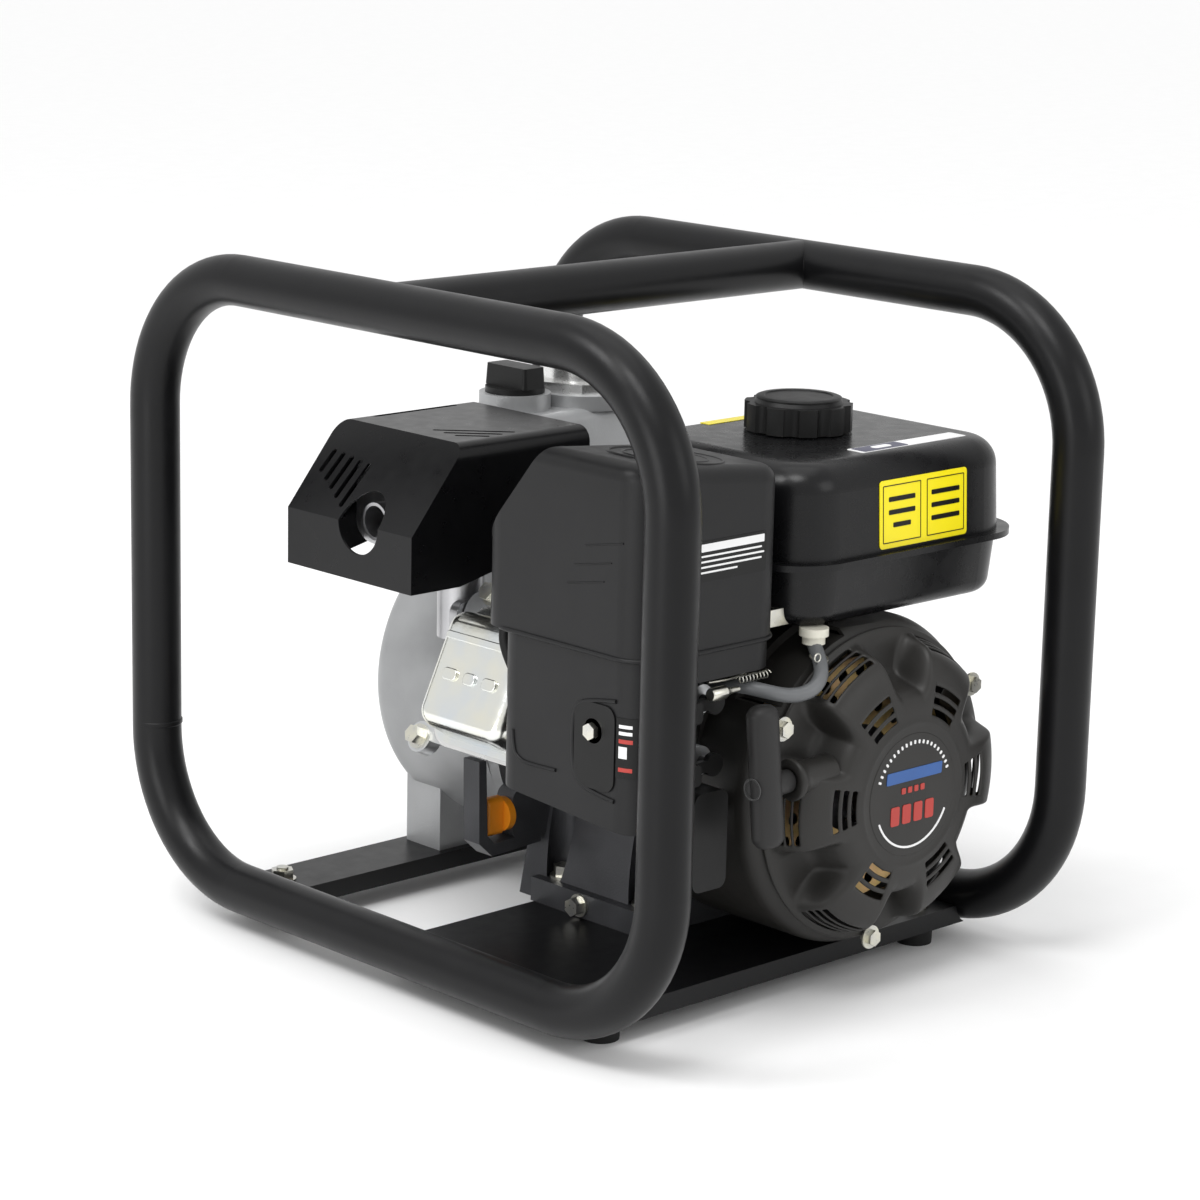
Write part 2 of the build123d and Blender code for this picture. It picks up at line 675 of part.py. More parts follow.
with BuildPart() as recoil_cover:
    add(dish_outside)
    add(dish_inside, mode=Mode.SUBTRACT)
    with BuildSketch(crank_plane(SHROUD_Y[0])):
        Circle(RECOIL_RIM_R)
        with PolarLocations(RECOIL_BOLT_PCR, 3, start_angle=RECOIL_BOLT_ANGLE):
            Circle(9)
        Circle(RECOIL_RIM_R - RECOIL_T - 3, mode=Mode.SUBTRACT)
        with PolarLocations(RECOIL_BOLT_PCR, 3, start_angle=RECOIL_BOLT_ANGLE):
            Circle(4.1, mode=Mode.SUBTRACT)
    extrude(amount=4)
    with BuildSketch(crank_plane(RECOIL_FRONT_Y + 1)):
        Circle(POST_R)
    extrude(amount=RECOIL_FRONT_Y + 1 - SHROUD_Y[0] + 2)
    with BuildSketch(Plane(origin=(EYE_X, PULL_Y, PULL_Z), z_dir=(1, 0, 0))):
        Circle(11)
    extrude(amount=26)
    with BuildSketch(Plane(origin=(EYE_X, PULL_Y, PULL_Z), z_dir=(1, 0, 0))):
        Circle(EYE_R)
    extrude(amount=40, mode=Mode.SUBTRACT)
    with BuildSketch(crank_plane(SHROUD_Y[0])):
        with PolarLocations(0, LOBES):
            for front_slot in FRONT_SLOTS:
                SlotArc(front_slot, 3.6)
    extrude(amount=60, mode=Mode.SUBTRACT)
    for slot_y in (-215.0, -208.0, -201.0):
        with BuildSketch(crank_plane(slot_y + 1.8)):
            with PolarLocations(0, LOBES):
                SlotArc(SIDE_SLOT, 16)
        extrude(amount=3.6, mode=Mode.SUBTRACT)
save(recoil_cover, "recoil_cover")

BASE_BOLT_Y, BASE_BOLT_Z = -150.0, 190.0      # bolt through the air cleaner's left wall
FLANGE_R, HEAD_R, HEAD_H = 7.5, 5.2, 5.0

with BuildPart() as flange_bolts:
    with BuildSketch(crank_plane(SHROUD_Y[0] - 4)):
        with PolarLocations(RECOIL_BOLT_PCR, 3, start_angle=RECOIL_BOLT_ANGLE):
            Circle(FLANGE_R)
    extrude(amount=1.2)
    with BuildSketch(crank_plane(SHROUD_Y[0] - 4)):
        with PolarLocations(RECOIL_BOLT_PCR, 3, start_angle=RECOIL_BOLT_ANGLE):
            RegularPolygon(HEAD_R, 6)
    extrude(amount=HEAD_H)
    with BuildSketch(crank_plane(SHROUD_Y[0])):
        with PolarLocations(RECOIL_BOLT_PCR, 3, start_angle=RECOIL_BOLT_ANGLE):
            Circle(4)
    extrude(amount=4)
    with BuildSketch(Plane(origin=(AIR_X[0] + 1.5, BASE_BOLT_Y, BASE_BOLT_Z), z_dir=(-1, 0, 0))):
        Circle(FLANGE_R)
    extrude(amount=1.2)
    with BuildSketch(Plane(origin=(AIR_X[0] + 1.5, BASE_BOLT_Y, BASE_BOLT_Z), z_dir=(-1, 0, 0))):
        RegularPolygon(HEAD_R, 6)
    extrude(amount=HEAD_H)
save(flange_bolts, "flange_bolts")

PULLEY_R = 34.0
PULLEY_Y = (-212.0, -202.0)

with BuildPart() as rope_pulley:
    with BuildSketch(crank_plane(PULLEY_Y[1])):
        Circle(PULLEY_R)
        Circle(POST_R + RUN, mode=Mode.SUBTRACT)
    extrude(amount=PULLEY_Y[1] - PULLEY_Y[0])
    with BuildSketch(crank_plane(PULLEY_Y[1] - 3)):
        Circle(PULLEY_R)
        Circle(PULLEY_R - 6, mode=Mode.SUBTRACT)
    extrude(amount=4, mode=Mode.SUBTRACT)
    with BuildSketch(crank_plane(PULLEY_Y[1] + 12)):
        Circle(22)
        Circle(POST_R + RUN, mode=Mode.SUBTRACT)
    extrude(amount=12)
save(rope_pulley, "rope_pulley")

SPRING_Y = (-217.0, -212.5)

with BuildPart() as recoil_spring:
    with BuildSketch(crank_plane(SPRING_Y[1])):
        for turn_r in (30, 26, 22, 18, 14):
            Circle(turn_r)
            Circle(turn_r - 1, mode=Mode.SUBTRACT)
        Rectangle(4, 60)
        Circle(POST_R, mode=Mode.SUBTRACT)
    extrude(amount=SPRING_Y[1] - SPRING_Y[0])
save(recoil_spring, "recoil_spring")

GRIP_X = -60.0
GRIP_LEAN = 6.0
GRIP_UP = (0, sin(radians(GRIP_LEAN)), cos(radians(GRIP_LEAN)))

with BuildPart() as starter_grip:
    with BuildSketch(Plane(origin=(GRIP_X, PULL_Y, PULL_Z + 6), x_dir=(1, 0, 0), z_dir=GRIP_UP)):
        Ellipse(10.5, 9)
    extrude(amount=43, both=True)
    fillet(starter_grip.faces().filter_by(GeomType.PLANE).edges(), 7)
    with BuildSketch(Plane(origin=(GRIP_X, PULL_Y, PULL_Z), z_dir=(1, 0, 0))):
        Circle(8)
    extrude(amount=EYE_X - GRIP_X - GAP, taper=3)
save(starter_grip, "starter_grip")

with BuildPart() as starter_rope:
    with BuildSketch(Plane(origin=(EYE_X - GAP, PULL_Y, PULL_Z), z_dir=(1, 0, 0))):
        Circle(2.2)
    extrude(amount=20)
save(starter_rope, "starter_rope")

# ---------------------------------------------------------------- fuel system
TANK_CENTRE = (sum(TANK_X) / 2, sum(TANK_Y) / 2)
TANK_SIZE = (TANK_X[1] - TANK_X[0], TANK_Y[1] - TANK_Y[0])
SEAM_OUT = 9.5
NECK_R = 25.0

with BuildPart() as fuel_tank:
    with BuildSketch(Plane.XY.offset(SEAM_Z)):
        with Locations(TANK_CENTRE):
            RectangleRounded(*TANK_SIZE, 34)
    extrude(amount=TANK_Z[1] - SEAM_Z, taper=3)
    fillet(fuel_tank.faces().sort_by(Axis.Z)[-1].edges(), 18)
    with BuildSketch(Plane.XY.offset(SEAM_Z)):
        with Locations(TANK_CENTRE):
            RectangleRounded(TANK_SIZE[0] - 2, TANK_SIZE[1] - 2, 33)
    extrude(amount=TANK_Z[0] - SEAM_Z, taper=6)
    fillet(fuel_tank.faces().sort_by(Axis.Z)[0].edges(), 10)
    with BuildSketch(Plane.XY.offset(SEAM_Z - 2)):
        with Locations(TANK_CENTRE):
            RectangleRounded(TANK_SIZE[0] + 2 * SEAM_OUT, TANK_SIZE[1] + 2 * SEAM_OUT - 8, 40)
    extrude(amount=4)
    with BuildSketch(Plane.XY.offset(TANK_Z[1] - 6)):
        with Locations(CAP_XY):
            Circle(NECK_R)
    extrude(amount=12)
    with BuildSketch(Plane.XY.offset(TANK_Z[0] + 3)):
        with Locations(TANK_CENTRE):
            RectangleRounded(TANK_SIZE[0] - 22, TANK_SIZE[1] - 22, 26)
    extrude(amount=TANK_Z[1] - TANK_Z[0] - 12, mode=Mode.SUBTRACT)
    with BuildSketch(Plane.XY.offset(TANK_Z[0] + 20)):
        with Locations(CAP_XY):
            Circle(NECK_R - 3)
    extrude(amount=120, mode=Mode.SUBTRACT)
save(fuel_tank, "fuel_tank")

CAP_R = 34.0
CAP_LOBES = 10

with BuildPart() as fuel_cap:
    with BuildSketch(Plane.XY.offset(TANK_Z[1] + 1)):
        with Locations(CAP_XY):
            Circle(CAP_R)
            with PolarLocations(CAP_R + 3, CAP_LOBES):
                Circle(6, mode=Mode.SUBTRACT)
    extrude(amount=17)
    with BuildSketch(Plane.XY.offset(TANK_Z[1] + 18)):
        with Locations(CAP_XY):
            Circle(CAP_R - 6)
    extrude(amount=3, taper=30)
    with BuildSketch(Plane.XY.offset(TANK_Z[1])):
        with Locations(CAP_XY):
            Circle(NECK_R + RUN)
    extrude(amount=10, mode=Mode.SUBTRACT)
save(fuel_cap, "fuel_cap")

NIPPLE = (6.0, -178.0)
HOSE_R = 4.5

with BuildPart() as tank_outlet:
    with BuildSketch(Plane.XY.offset(TANK_Z[0])):
        with Locations(NIPPLE):
            Circle(9)
    extrude(amount=-5)
    with BuildSketch(Plane.XY.offset(TANK_Z[0] - 5)):
        with Locations(NIPPLE):
            Circle(7)
    extrude(amount=-5)
save(tank_outlet, "tank_outlet")

# Fuel hose, held by the tank outlet and the carburettor at its two ends.
FUEL_HOSE_ROUTE = [
    (6, -178, 224),
    (-1, -191, 216),
    (-11, -201, 209),
    (-21, -202, 203),
    (-33, -197, 201),
    (-47, -189, 205),
    (-54, -175, 207),
    (-57, -157, 204),
    (-58, -139, 200),
]
LEAD_R = 3.5
PLUG_LOCAL = (50.0, -20.0)      # spark plug on the head face
PLUG_TIP_U = HEAD_U[1] + 26
LEAD_START = (
    CRANK_X + PLUG_TIP_U * UX + PLUG_LOCAL[1] * UZ,
    CYL_Y - PLUG_LOCAL[0],
    CRANK_Z + PLUG_TIP_U * UZ - PLUG_LOCAL[1] * UX,
)
IGNITION_LEAD_ROUTE = [
    (LEAD_START[0] - 2, LEAD_START[1] + 9, LEAD_START[2] + 4),
    (LEAD_START[0] - 1, -44, LEAD_START[2] + 20),
    (-118, -36, 228),
    (-92, -32, 244),
    (-58, -34, 243),
    (-30, -40, 228),
    (-2, -54, 219),
    (30, -64, 212),
    (62, -68, 208),
    (86, -80, 206),
    (98, -99, 205),
]


def bend_radii(route):
    """Radius of each bend of a route: 0.45 of its shorter run over the tangent of half the turn."""
    radii = []
    for before, at, after in zip(route, route[1:], route[2:]):
        run_in = Vector(at) - Vector(before)
        run_out = Vector(after) - Vector(at)
        half_turn = radians(run_in.get_angle(run_out)) / 2
        radii.append(0.45 * min(run_in.length, run_out.length) / tan(half_turn))
    return radii


def round_cable(route, radius):
    """Solid cable of straight runs and tangent arcs along a route."""
    radii = bend_radii(route)
    print("bend radii", [round(r, 1) for r in radii])
    with BuildPart() as cable:
        with BuildLine() as centre:
            FilletPolyline(*route, radius=radii)
        with BuildSketch(Plane(origin=centre.line @ 0, z_dir=centre.line % 0)):
            Circle(radius)
        sweep(path=centre.line)
    return cable


fuel_hose = round_cable(FUEL_HOSE_ROUTE, HOSE_R)
save(fuel_hose, "fuel_hose")

ignition_lead = round_cable(IGNITION_LEAD_ROUTE, LEAD_R)
save(ignition_lead, "ignition_lead")

with BuildPart() as spark_plug:
    with BuildSketch(head_plane(HEAD_U[1])):
        with Locations(PLUG_LOCAL):
            RegularPolygon(9, 6)
    extrude(amount=6)
    with BuildSketch(head_plane(HEAD_U[1] + 6)):
        with Locations(PLUG_LOCAL):
            Circle(5)
    extrude(amount=8)
save(spark_plug, "spark_plug")

with BuildPart() as plug_boot:
    with BuildSketch(head_plane(HEAD_U[1] + 6)):
        with Locations(PLUG_LOCAL):
            Circle(9)
    extrude(amount=24)
    fillet(plug_boot.faces().sort_by(Axis((0, 0, 0), (UX, 0, UZ)))[-1].edges(), 5)
    with BuildSketch(head_plane(HEAD_U[1] + 6)):
        with Locations(PLUG_LOCAL):
            Circle(5)
    extrude(amount=8, mode=Mode.SUBTRACT)
save(plug_boot, "plug_boot")

# ---------------------------------------------------------------- air cleaner and carburettor
AIR_CENTRE = (sum(AIR_X) / 2, sum(AIR_Y) / 2)
AIR_SIZE = (AIR_X[1] - AIR_X[0], AIR_Y[1] - AIR_Y[0])
AIR_WALL = 3.0
AIR_TOP_HIGH = 352.0     # top of the cover over its left edge
AIR_TOP_LOW = 338.0      # and over its right edge
BULGE_Y = -48.0          # the cover reaches back past the base
CUT_X = -104.0           # right of this the front wall is cut away
CUT_TOP = 218.0


def air_cover_solid(inset):
    """Solid of the air cleaner cover, shrunk by the inset, with its leaning back and top."""
    with BuildPart() as cover:
        with BuildSketch(Plane.YZ.offset(AIR_X[0] + inset)):
            with BuildLine():
                Polyline(
                    (AIR_Y[0] + inset, AIR_SEAM_Z),
                    (AIR_Y[0] + inset, AIR_TOP_HIGH - inset),
                    (-104 - inset, AIR_TOP_HIGH - inset),
                    (BULGE_Y - 1.3 * inset, 284),
                    (BULGE_Y - inset, 262),
                    (AIR_Y[1] + 6 - inset, AIR_SEAM_Z),
                    close=True,
                )
            make_face()
        extrude(amount=AIR_SIZE[0] - 2 * inset)
        with BuildSketch(Plane.XZ.offset(-BULGE_Y)):
            with BuildLine():
                Polyline(
                    (AIR_X[0] - 5, AIR_TOP_HIGH - inset),
                    (AIR_X[1] + 5, AIR_TOP_LOW - inset),
                    (AIR_X[1] + 5, AIR_TOP_HIGH + 9),
                    (AIR_X[0] - 5, AIR_TOP_HIGH + 9),
                    close=True,
                )
            make_face()
        extrude(amount=300, both=True, mode=Mode.SUBTRACT)
        corners = cover.edges().filter_by(Axis.Z)
        fillet(corners, 20 - inset)
        fillet(cover.faces().sort_by(Axis.Z)[-1].edges(), 10 - inset)
    return cover.part


cover_outside = air_cover_solid(0)
cover_inside = air_cover_solid(AIR_WALL)

with BuildPart() as air_cleaner_cover:
    add(cover_outside)
    add(cover_inside, mode=Mode.SUBTRACT)
save(air_cleaner_cover, "air_cleaner_cover")

with BuildPart() as air_cleaner_base:
    with BuildSketch(Plane.XY.offset(AIR_LOW_Z)):
        with Locations(AIR_CENTRE):
            RectangleRounded(AIR_SIZE[0] - 3, AIR_SIZE[1] - 3, 19)
    extrude(amount=AIR_SEAM_Z - AIR_LOW_Z)
    with BuildSketch(Plane.XY.offset(AIR_LOW_Z)):
        with Locations(AIR_CENTRE):
            RectangleRounded(AIR_SIZE[0] - 3 - 2 * AIR_WALL, AIR_SIZE[1] - 3 - 2 * AIR_WALL, 16)
    extrude(amount=AIR_SEAM_Z - AIR_LOW_Z - AIR_WALL, mode=Mode.SUBTRACT)
    with Locations((AIR_X[1], AIR_Y[1], AIR_LOW_Z + 40)):
        Box(2 * (AIR_SIZE[0] - 12), 60, 120, mode=Mode.SUBTRACT)
    with Locations((AIR_X[1], AIR_CENTRE[1], AIR_LOW_Z + 33)):
        Box(2 * (AIR_X[1] - CUT_X), 2 * AIR_SIZE[1], 2 * (CUT_TOP - AIR_LOW_Z - 33), mode=Mode.SUBTRACT)
    with Locations((-76, AIR_Y[1], AIR_SEAM_Z)):
        Box(44, 44, 30, mode=Mode.SUBTRACT)
    with BuildSketch(Plane.YZ.offset(AIR_X[0] - 5)):
        with Locations((AIR_Y[1] + 2, LEAD_START[2] - 3)):
            Circle(13)
        with BuildLine():
            Polyline(
                (AIR_Y[1] + 2, AIR_LOW_Z - 1),
                (AIR_Y[0] - 2, AIR_LOW_Z - 1),
                (AIR_Y[1] + 2, AIR_LOW_Z + 8),
                close=True,
            )
        make_face()
    extrude(amount=40, mode=Mode.SUBTRACT)
    with BuildSketch(Plane.XY.offset(AIR_SEAM_Z - 6)):
        with Locations((-62, -120)):
            Circle(17)
    extrude(amount=20, mode=Mode.SUBTRACT)
save(air_cleaner_base, "air_cleaner_base")

with BuildPart() as air_filter_element:
    with BuildSketch(Plane.XY.offset(AIR_SEAM_Z)):
        with Locations(AIR_CENTRE):
            RectangleRounded(AIR_SIZE[0] - 30, AIR_SIZE[1] - 34, 14)
            RectangleRounded(AIR_SIZE[0] - 70, AIR_SIZE[1] - 74, 8, mode=Mode.SUBTRACT)
    extrude(amount=58)
save(air_filter_element, "air_filter_element")

CARB_X, CARB_Z = -66.0, 192.0
CARB_Y = (-138.0, -71.0)

SPINDLE_Y = CARB_Y[0]
SPINDLE_X = CARB_X - 4
LEVER_REACH = 26.0
CHOKE_Z = 198.0
VALVE_Z = 160.0
LEVER_PIN_R = 3.0

with BuildPart() as carburettor:
    with Locations((CARB_X, sum(CARB_Y) / 2, CARB_Z)):
        Box(40, CARB_Y[1] - CARB_Y[0], 36)
    fillet(carburettor.edges().filter_by(Axis.Y), 6)
    with BuildSketch(Plane.XY.offset(CARB_Z - 18)):
        with Locations((CARB_X, -108)):
            Circle(20)
    extrude(amount=-22, taper=6)
    with BuildSketch(Plane.XY.offset(CARB_Z - 40)):
        with Locations((CARB_X, -108)):
            Circle(5)
    extrude(amount=-5)
    with BuildSketch(Plane.XY.offset(CARB_Z + 10)):
        with Locations((-62, -120)):
            Circle(15)
    extrude(amount=AIR_SEAM_Z - 4 - CARB_Z - 10)
    with BuildSketch(side_plane(CARB_Y[1])):
        with Locations((CARB_X, CARB_Z)):
            Circle(10)
    extrude(amount=40, mode=Mode.SUBTRACT)
    with BuildSketch(Plane.XY.offset(CARB_Z)):
        with Locations((-62, -120)):
            Circle(11)
    extrude(amount=60, mode=Mode.SUBTRACT)
    with BuildSketch(side_plane(SPINDLE_Y)):
        with Locations((SPINDLE_X, CHOKE_Z), (SPINDLE_X, VALVE_Z)):
            Circle(9)
    extrude(amount=22)
    with BuildSketch(side_plane(SPINDLE_Y)):
        with Locations((SPINDLE_X, VALVE_Z)):
            Circle(9)
    extrude(amount=-18)
    with BuildSketch(side_plane(SPINDLE_Y + 14)):
        with Locations((SPINDLE_X, CHOKE_Z), (SPINDLE_X, VALVE_Z)):
            Circle(LEVER_PIN_R + RUN)
    extrude(amount=60, mode=Mode.SUBTRACT)
save(carburettor, "carburettor")


def control_lever(z_pivot):
    """Flat lever on a spindle along Y, reaching out to the left of it."""
    with BuildPart() as lever:
        with BuildSketch(side_plane(SPINDLE_Y - 30)):
            with Locations((SPINDLE_X, z_pivot)):
                Circle(7)
            with Locations((SPINDLE_X - LEVER_REACH / 2, z_pivot)):
                RectangleRounded(LEVER_REACH + 8, 7, 3)
        extrude(amount=4)
        with BuildSketch(side_plane(SPINDLE_Y - 31)):
            with Locations((SPINDLE_X - LEVER_REACH, z_pivot)):
                RectangleRounded(8, 13, 3)
        extrude(amount=14)
        with BuildSketch(side_plane(SPINDLE_Y + 12)):
            with Locations((SPINDLE_X, z_pivot)):
                Circle(LEVER_PIN_R)
        extrude(amount=43)
    return lever


choke_lever = control_lever(CHOKE_Z)
save(choke_lever, "choke_lever")

fuel_valve_lever = control_lever(VALVE_Z)
save(fuel_valve_lever, "fuel_valve_lever")

THROTTLE_REACH = 44.0

with BuildPart() as throttle_lever:
    with BuildSketch(Plane.XY.offset(DUCT_TOP + 1)):
        with Locations(THROTTLE_AXIS):
            Circle(9)
        with Locations((THROTTLE_AXIS[0], THROTTLE_AXIS[1] - THROTTLE_REACH / 2)):
            RectangleRounded(9, THROTTLE_REACH, 4)
    extrude(amount=2.5)
    with BuildSketch(Plane.XY.offset(DUCT_TOP + 3.5)):
        with Locations((THROTTLE_AXIS[0], THROTTLE_AXIS[1] - THROTTLE_REACH + 4)):
            RectangleRounded(12, 12, 4)
    extrude(amount=6)
    with BuildSketch(Plane.XY.offset(DUCT_TOP - 8)):
        with Locations(THROTTLE_AXIS):
            Circle(THROTTLE_PIN_R)
    extrude(amount=12)
save(throttle_lever, "throttle_lever")

BOX_X = (-94.0, -66.0)
BOX_Y = (-180.0, -150.0)
BOX_Z = (86.0, 147.0)
SWITCH_AT = (-165.0, 122.0)    # Y and Z of the switch on the box's left face

with BuildPart() as switch_box:
    with Locations((sum(BOX_X) / 2, sum(BOX_Y) / 2, sum(BOX_Z) / 2)):
        Box(BOX_X[1] - BOX_X[0], BOX_Y[1] - BOX_Y[0], BOX_Z[1] - BOX_Z[0])
    fillet(switch_box.edges().filter_by(Axis.Y), 6)
    with Locations(((BOX_X[1] + CRANK_X - SHROUD_R) / 2, BOX_Y[1] - 3, CRANK_Z)):
        Box(CRANK_X - SHROUD_R - BOX_X[1] + 2, 6, 12)
    with BuildSketch(crank_plane(SHROUD_Y[1])):
        Circle(SHROUD_R)
    extrude(amount=SHROUD_Y[1] - SHROUD_Y[0], mode=Mode.SUBTRACT)
    with BuildSketch(Plane(origin=(BOX_X[0], *SWITCH_AT), z_dir=(1, 0, 0))):
        Circle(8 + RUN)
    extrude(amount=14, mode=Mode.SUBTRACT)
save(switch_box, "switch_box")

with BuildPart() as engine_switch:
    with BuildSketch(Plane(origin=(BOX_X[0] + 12, *SWITCH_AT), z_dir=(-1, 0, 0))):
        Circle(8)
    extrude(amount=14)
    with BuildSketch(Plane(origin=(BOX_X[0] - 2, *SWITCH_AT), z_dir=(-1, 0, 0))):
        SlotOverall(15, 5)
    extrude(amount=6)
save(engine_switch, "engine_switch")

# ---------------------------------------------------------------- exhaust
MUFFLER_X = (-106.0, -10.0)
MUFFLER_Y = (47.0, 123.0)
MUFFLER_Z = (250.0, 314.0)
TAILPIPE = (66.0, 276.0)
DOWNPIPE = (-66.0, 62.0)
EXHAUST_Z = 206.0
GUARD_T = 1.5
FOLD_Z = 276.0
TOP_EDGE_X = -105.0

with BuildPart() as muffler:
    with Locations((sum(MUFFLER_X) / 2, sum(MUFFLER_Y) / 2, sum(MUFFLER_Z) / 2)):
        Box(MUFFLER_X[1] - MUFFLER_X[0], MUFFLER_Y[1] - MUFFLER_Y[0], MUFFLER_Z[1] - MUFFLER_Z[0])
    fillet(muffler.edges().filter_by(Axis.X), 16)
    fillet(muffler.faces().sort_by(Axis.X)[0].edges(), 8)
    fillet(muffler.faces().sort_by(Axis.X)[-1].edges(), 8)
    with Locations((sum(MUFFLER_X) / 2, sum(MUFFLER_Y) / 2, sum(MUFFLER_Z) / 2)):
        Box(MUFFLER_X[1] - MUFFLER_X[0] - 12, MUFFLER_Y[1] - MUFFLER_Y[0] - 12,
            MUFFLER_Z[1] - MUFFLER_Z[0] - 12, mode=Mode.SUBTRACT)
    with BuildSketch(Plane(origin=(MUFFLER_X[0] + 2, *TAILPIPE), z_dir=(-1, 0, 0))):
        Circle(12)
    extrude(amount=30)
    with BuildSketch(Plane.XY.offset(EXHAUST_Z - 12)):
        with Locations(DOWNPIPE):
            Circle(15)
    extrude(amount=MUFFLER_Z[0] - EXHAUST_Z + 16)
    with BuildSketch(Plane.XZ.offset(-43)):
        with Locations((DOWNPIPE[0], EXHAUST_Z)):
            RectangleRounded(40, 30, 8)
    extrude(amount=-7)
    with BuildSketch(Plane.XZ.offset(-43)):
        with Locations((DOWNPIPE[0], EXHAUST_Z)):
            Circle(12)
    extrude(amount=-20)
    with BuildSketch(Plane(origin=(MUFFLER_X[0] + 10, *TAILPIPE), z_dir=(-1, 0, 0))):
        Circle(10)
    extrude(amount=50, mode=Mode.SUBTRACT)
    with BuildSketch(Plane.XY.offset(EXHAUST_Z - 8)):
        with Locations(DOWNPIPE):
            Circle(11)
    extrude(amount=MUFFLER_Z[0] - EXHAUST_Z + 20, mode=Mode.SUBTRACT)
save(muffler, "muffler")


def guard_solid(inset):
    """Solid inside the muffler guard's outline, shrunk by the inset, open side down."""
    with BuildPart() as guard:
        with BuildSketch(Plane.XZ.offset(-GUARD_Y[0] - inset)):
            with BuildLine():
                Polyline(
                    (GUARD_X[0] + inset, GUARD_Z[0] - (5 if inset else 0)),
                    (GUARD_X[0] + inset, FOLD_Z - inset / 2),
                    (TOP_EDGE_X + inset / 2, GUARD_Z[1] - inset),
                    (GUARD_X[1] - inset, GUARD_Z[1] - inset),
                    (GUARD_X[1] - inset, GUARD_Z[0] + 24),
                    (GUARD_X[0] + 40, GUARD_Z[0] - (5 if inset else 0)),
                    close=True,
                )
            make_face()
        extrude(amount=-(GUARD_Y[1] - GUARD_Y[0] - 2 * inset))
        fillet(guard.edges().filter_by(Axis.X).sort_by(Axis.Z)[-2:], 10 - inset)
    return guard.part


slant_plane = Plane(
    origin=((GUARD_X[0] + TOP_EDGE_X) / 2, 0, (FOLD_Z + GUARD_Z[1]) / 2), x_dir=(0, 1, 0),
    z_dir=(FOLD_Z - GUARD_Z[1], 0, TOP_EDGE_X - GUARD_X[0])
)
guard_outside = guard_solid(0)
guard_inside = guard_solid(GUARD_T)

with BuildPart() as muffler_guard:
    add(guard_outside)
    add(guard_inside, mode=Mode.SUBTRACT)
    with Locations((sum(GUARD_X) / 2 + 40, sum(GUARD_Y) / 2, GUARD_Z[0] - 20)):
        Box(200, GUARD_Y[1] - GUARD_Y[0] - 2 * GUARD_T, 90, mode=Mode.SUBTRACT)
    with BuildSketch(Plane(origin=(GUARD_X[0] - 5, 66, 276), z_dir=(1, 0, 0))):
        Circle(19)
    extrude(amount=30, mode=Mode.SUBTRACT)
    with BuildSketch(Plane.XY.offset(GUARD_Z[1] - 5)):
        for louvre in range(3):
            with Locations((-70 - 6 * louvre, 47 - 6 * louvre)):
                SlotOverall(52 - 15 * louvre, 3.5, rotation=-45)
        with Locations((-52, 124)):
            SlotOverall(70, 4)
    extrude(amount=10, mode=Mode.SUBTRACT)
    with BuildSketch(slant_plane):
        for slit in range(5):
            with Locations((88 + 9 * slit, 9 - 3 * slit)):
                SlotOverall(34 - 4 * slit, 4, rotation=82)
    extrude(amount=10, both=True, mode=Mode.SUBTRACT)
save(muffler_guard, "muffler_guard")

# ---------------------------------------------------------------- pump
PUMP_WALL = 7.0

with BuildPart() as pump_bracket:
    with BuildSketch(crank_plane(PUMP_Y[0])):
        Circle(PUMP_R - 4)
    extrude(amount=10)
    with BuildSketch(crank_plane(PUMP_Y[0] - 10)):
        Circle(84)
    extrude(amount=PUMP_Y[0] - 10 - PTO_FACE_Y, taper=28)
    with BuildSketch(crank_plane(PUMP_Y[0])):
        Circle(26)
    extrude(amount=PUMP_Y[0] - PTO_FACE_Y - 8, mode=Mode.SUBTRACT)
    with BuildSketch(crank_plane(PUMP_Y[0])):
        Circle(MAIN_R + 3)
    extrude(amount=60, mode=Mode.SUBTRACT)
save(pump_bracket, "pump_bracket")

with BuildPart() as mechanical_seal:
    with BuildSketch(crank_plane(PUMP_Y[0] + 12)):
        Circle(18)
        Circle(PTO_R + GAP, mode=Mode.SUBTRACT)
    extrude(amount=12)
    with BuildSketch(crank_plane(PUMP_Y[0])):
        Circle(26)
        Circle(PTO_R + GAP, mode=Mode.SUBTRACT)
    extrude(amount=6)
save(mechanical_seal, "mechanical_seal")

VANES = 4
VANE_ARC = CenterArc((0, 0), 24, 200, 80)

with BuildPart() as impeller:
    with BuildSketch(crank_plane(IMPELLER_Y[0] + 5)):
        Circle(IMPELLER_R)
    extrude(amount=5)
    with BuildSketch(crank_plane(IMPELLER_Y[1])):
        Circle(17)
    extrude(amount=IMPELLER_Y[1] - IMPELLER_Y[0])
    with BuildSketch(crank_plane(IMPELLER_Y[0] + 22)):
        with PolarLocations(36, VANES):
            SlotArc(VANE_ARC, 5)
    extrude(amount=18)
    with BuildSketch(crank_plane(IMPELLER_Y[1] - 4)):
        Circle(PTO_R)
    extrude(amount=60, mode=Mode.SUBTRACT)
save(impeller, "impeller")

with BuildPart() as volute:
    with BuildSketch(crank_plane(IMPELLER_Y[1] + 8)):
        Circle(74)
        Circle(IMPELLER_R + 3, mode=Mode.SUBTRACT)
    extrude(amount=IMPELLER_Y[1] + 8 - PUMP_Y[0])
    with BuildSketch(crank_plane(IMPELLER_Y[1] + 8)):
        Circle(74)
        Circle(24, mode=Mode.SUBTRACT)
    extrude(amount=6)
    with BuildSketch(Plane.XY.offset(CRANK_Z + 56)):
        with Locations((CRANK_X, IMPELLER_Y[0] + 12)):
            Circle(11)
    extrude(amount=30, mode=Mode.SUBTRACT)
save(volute, "volute")

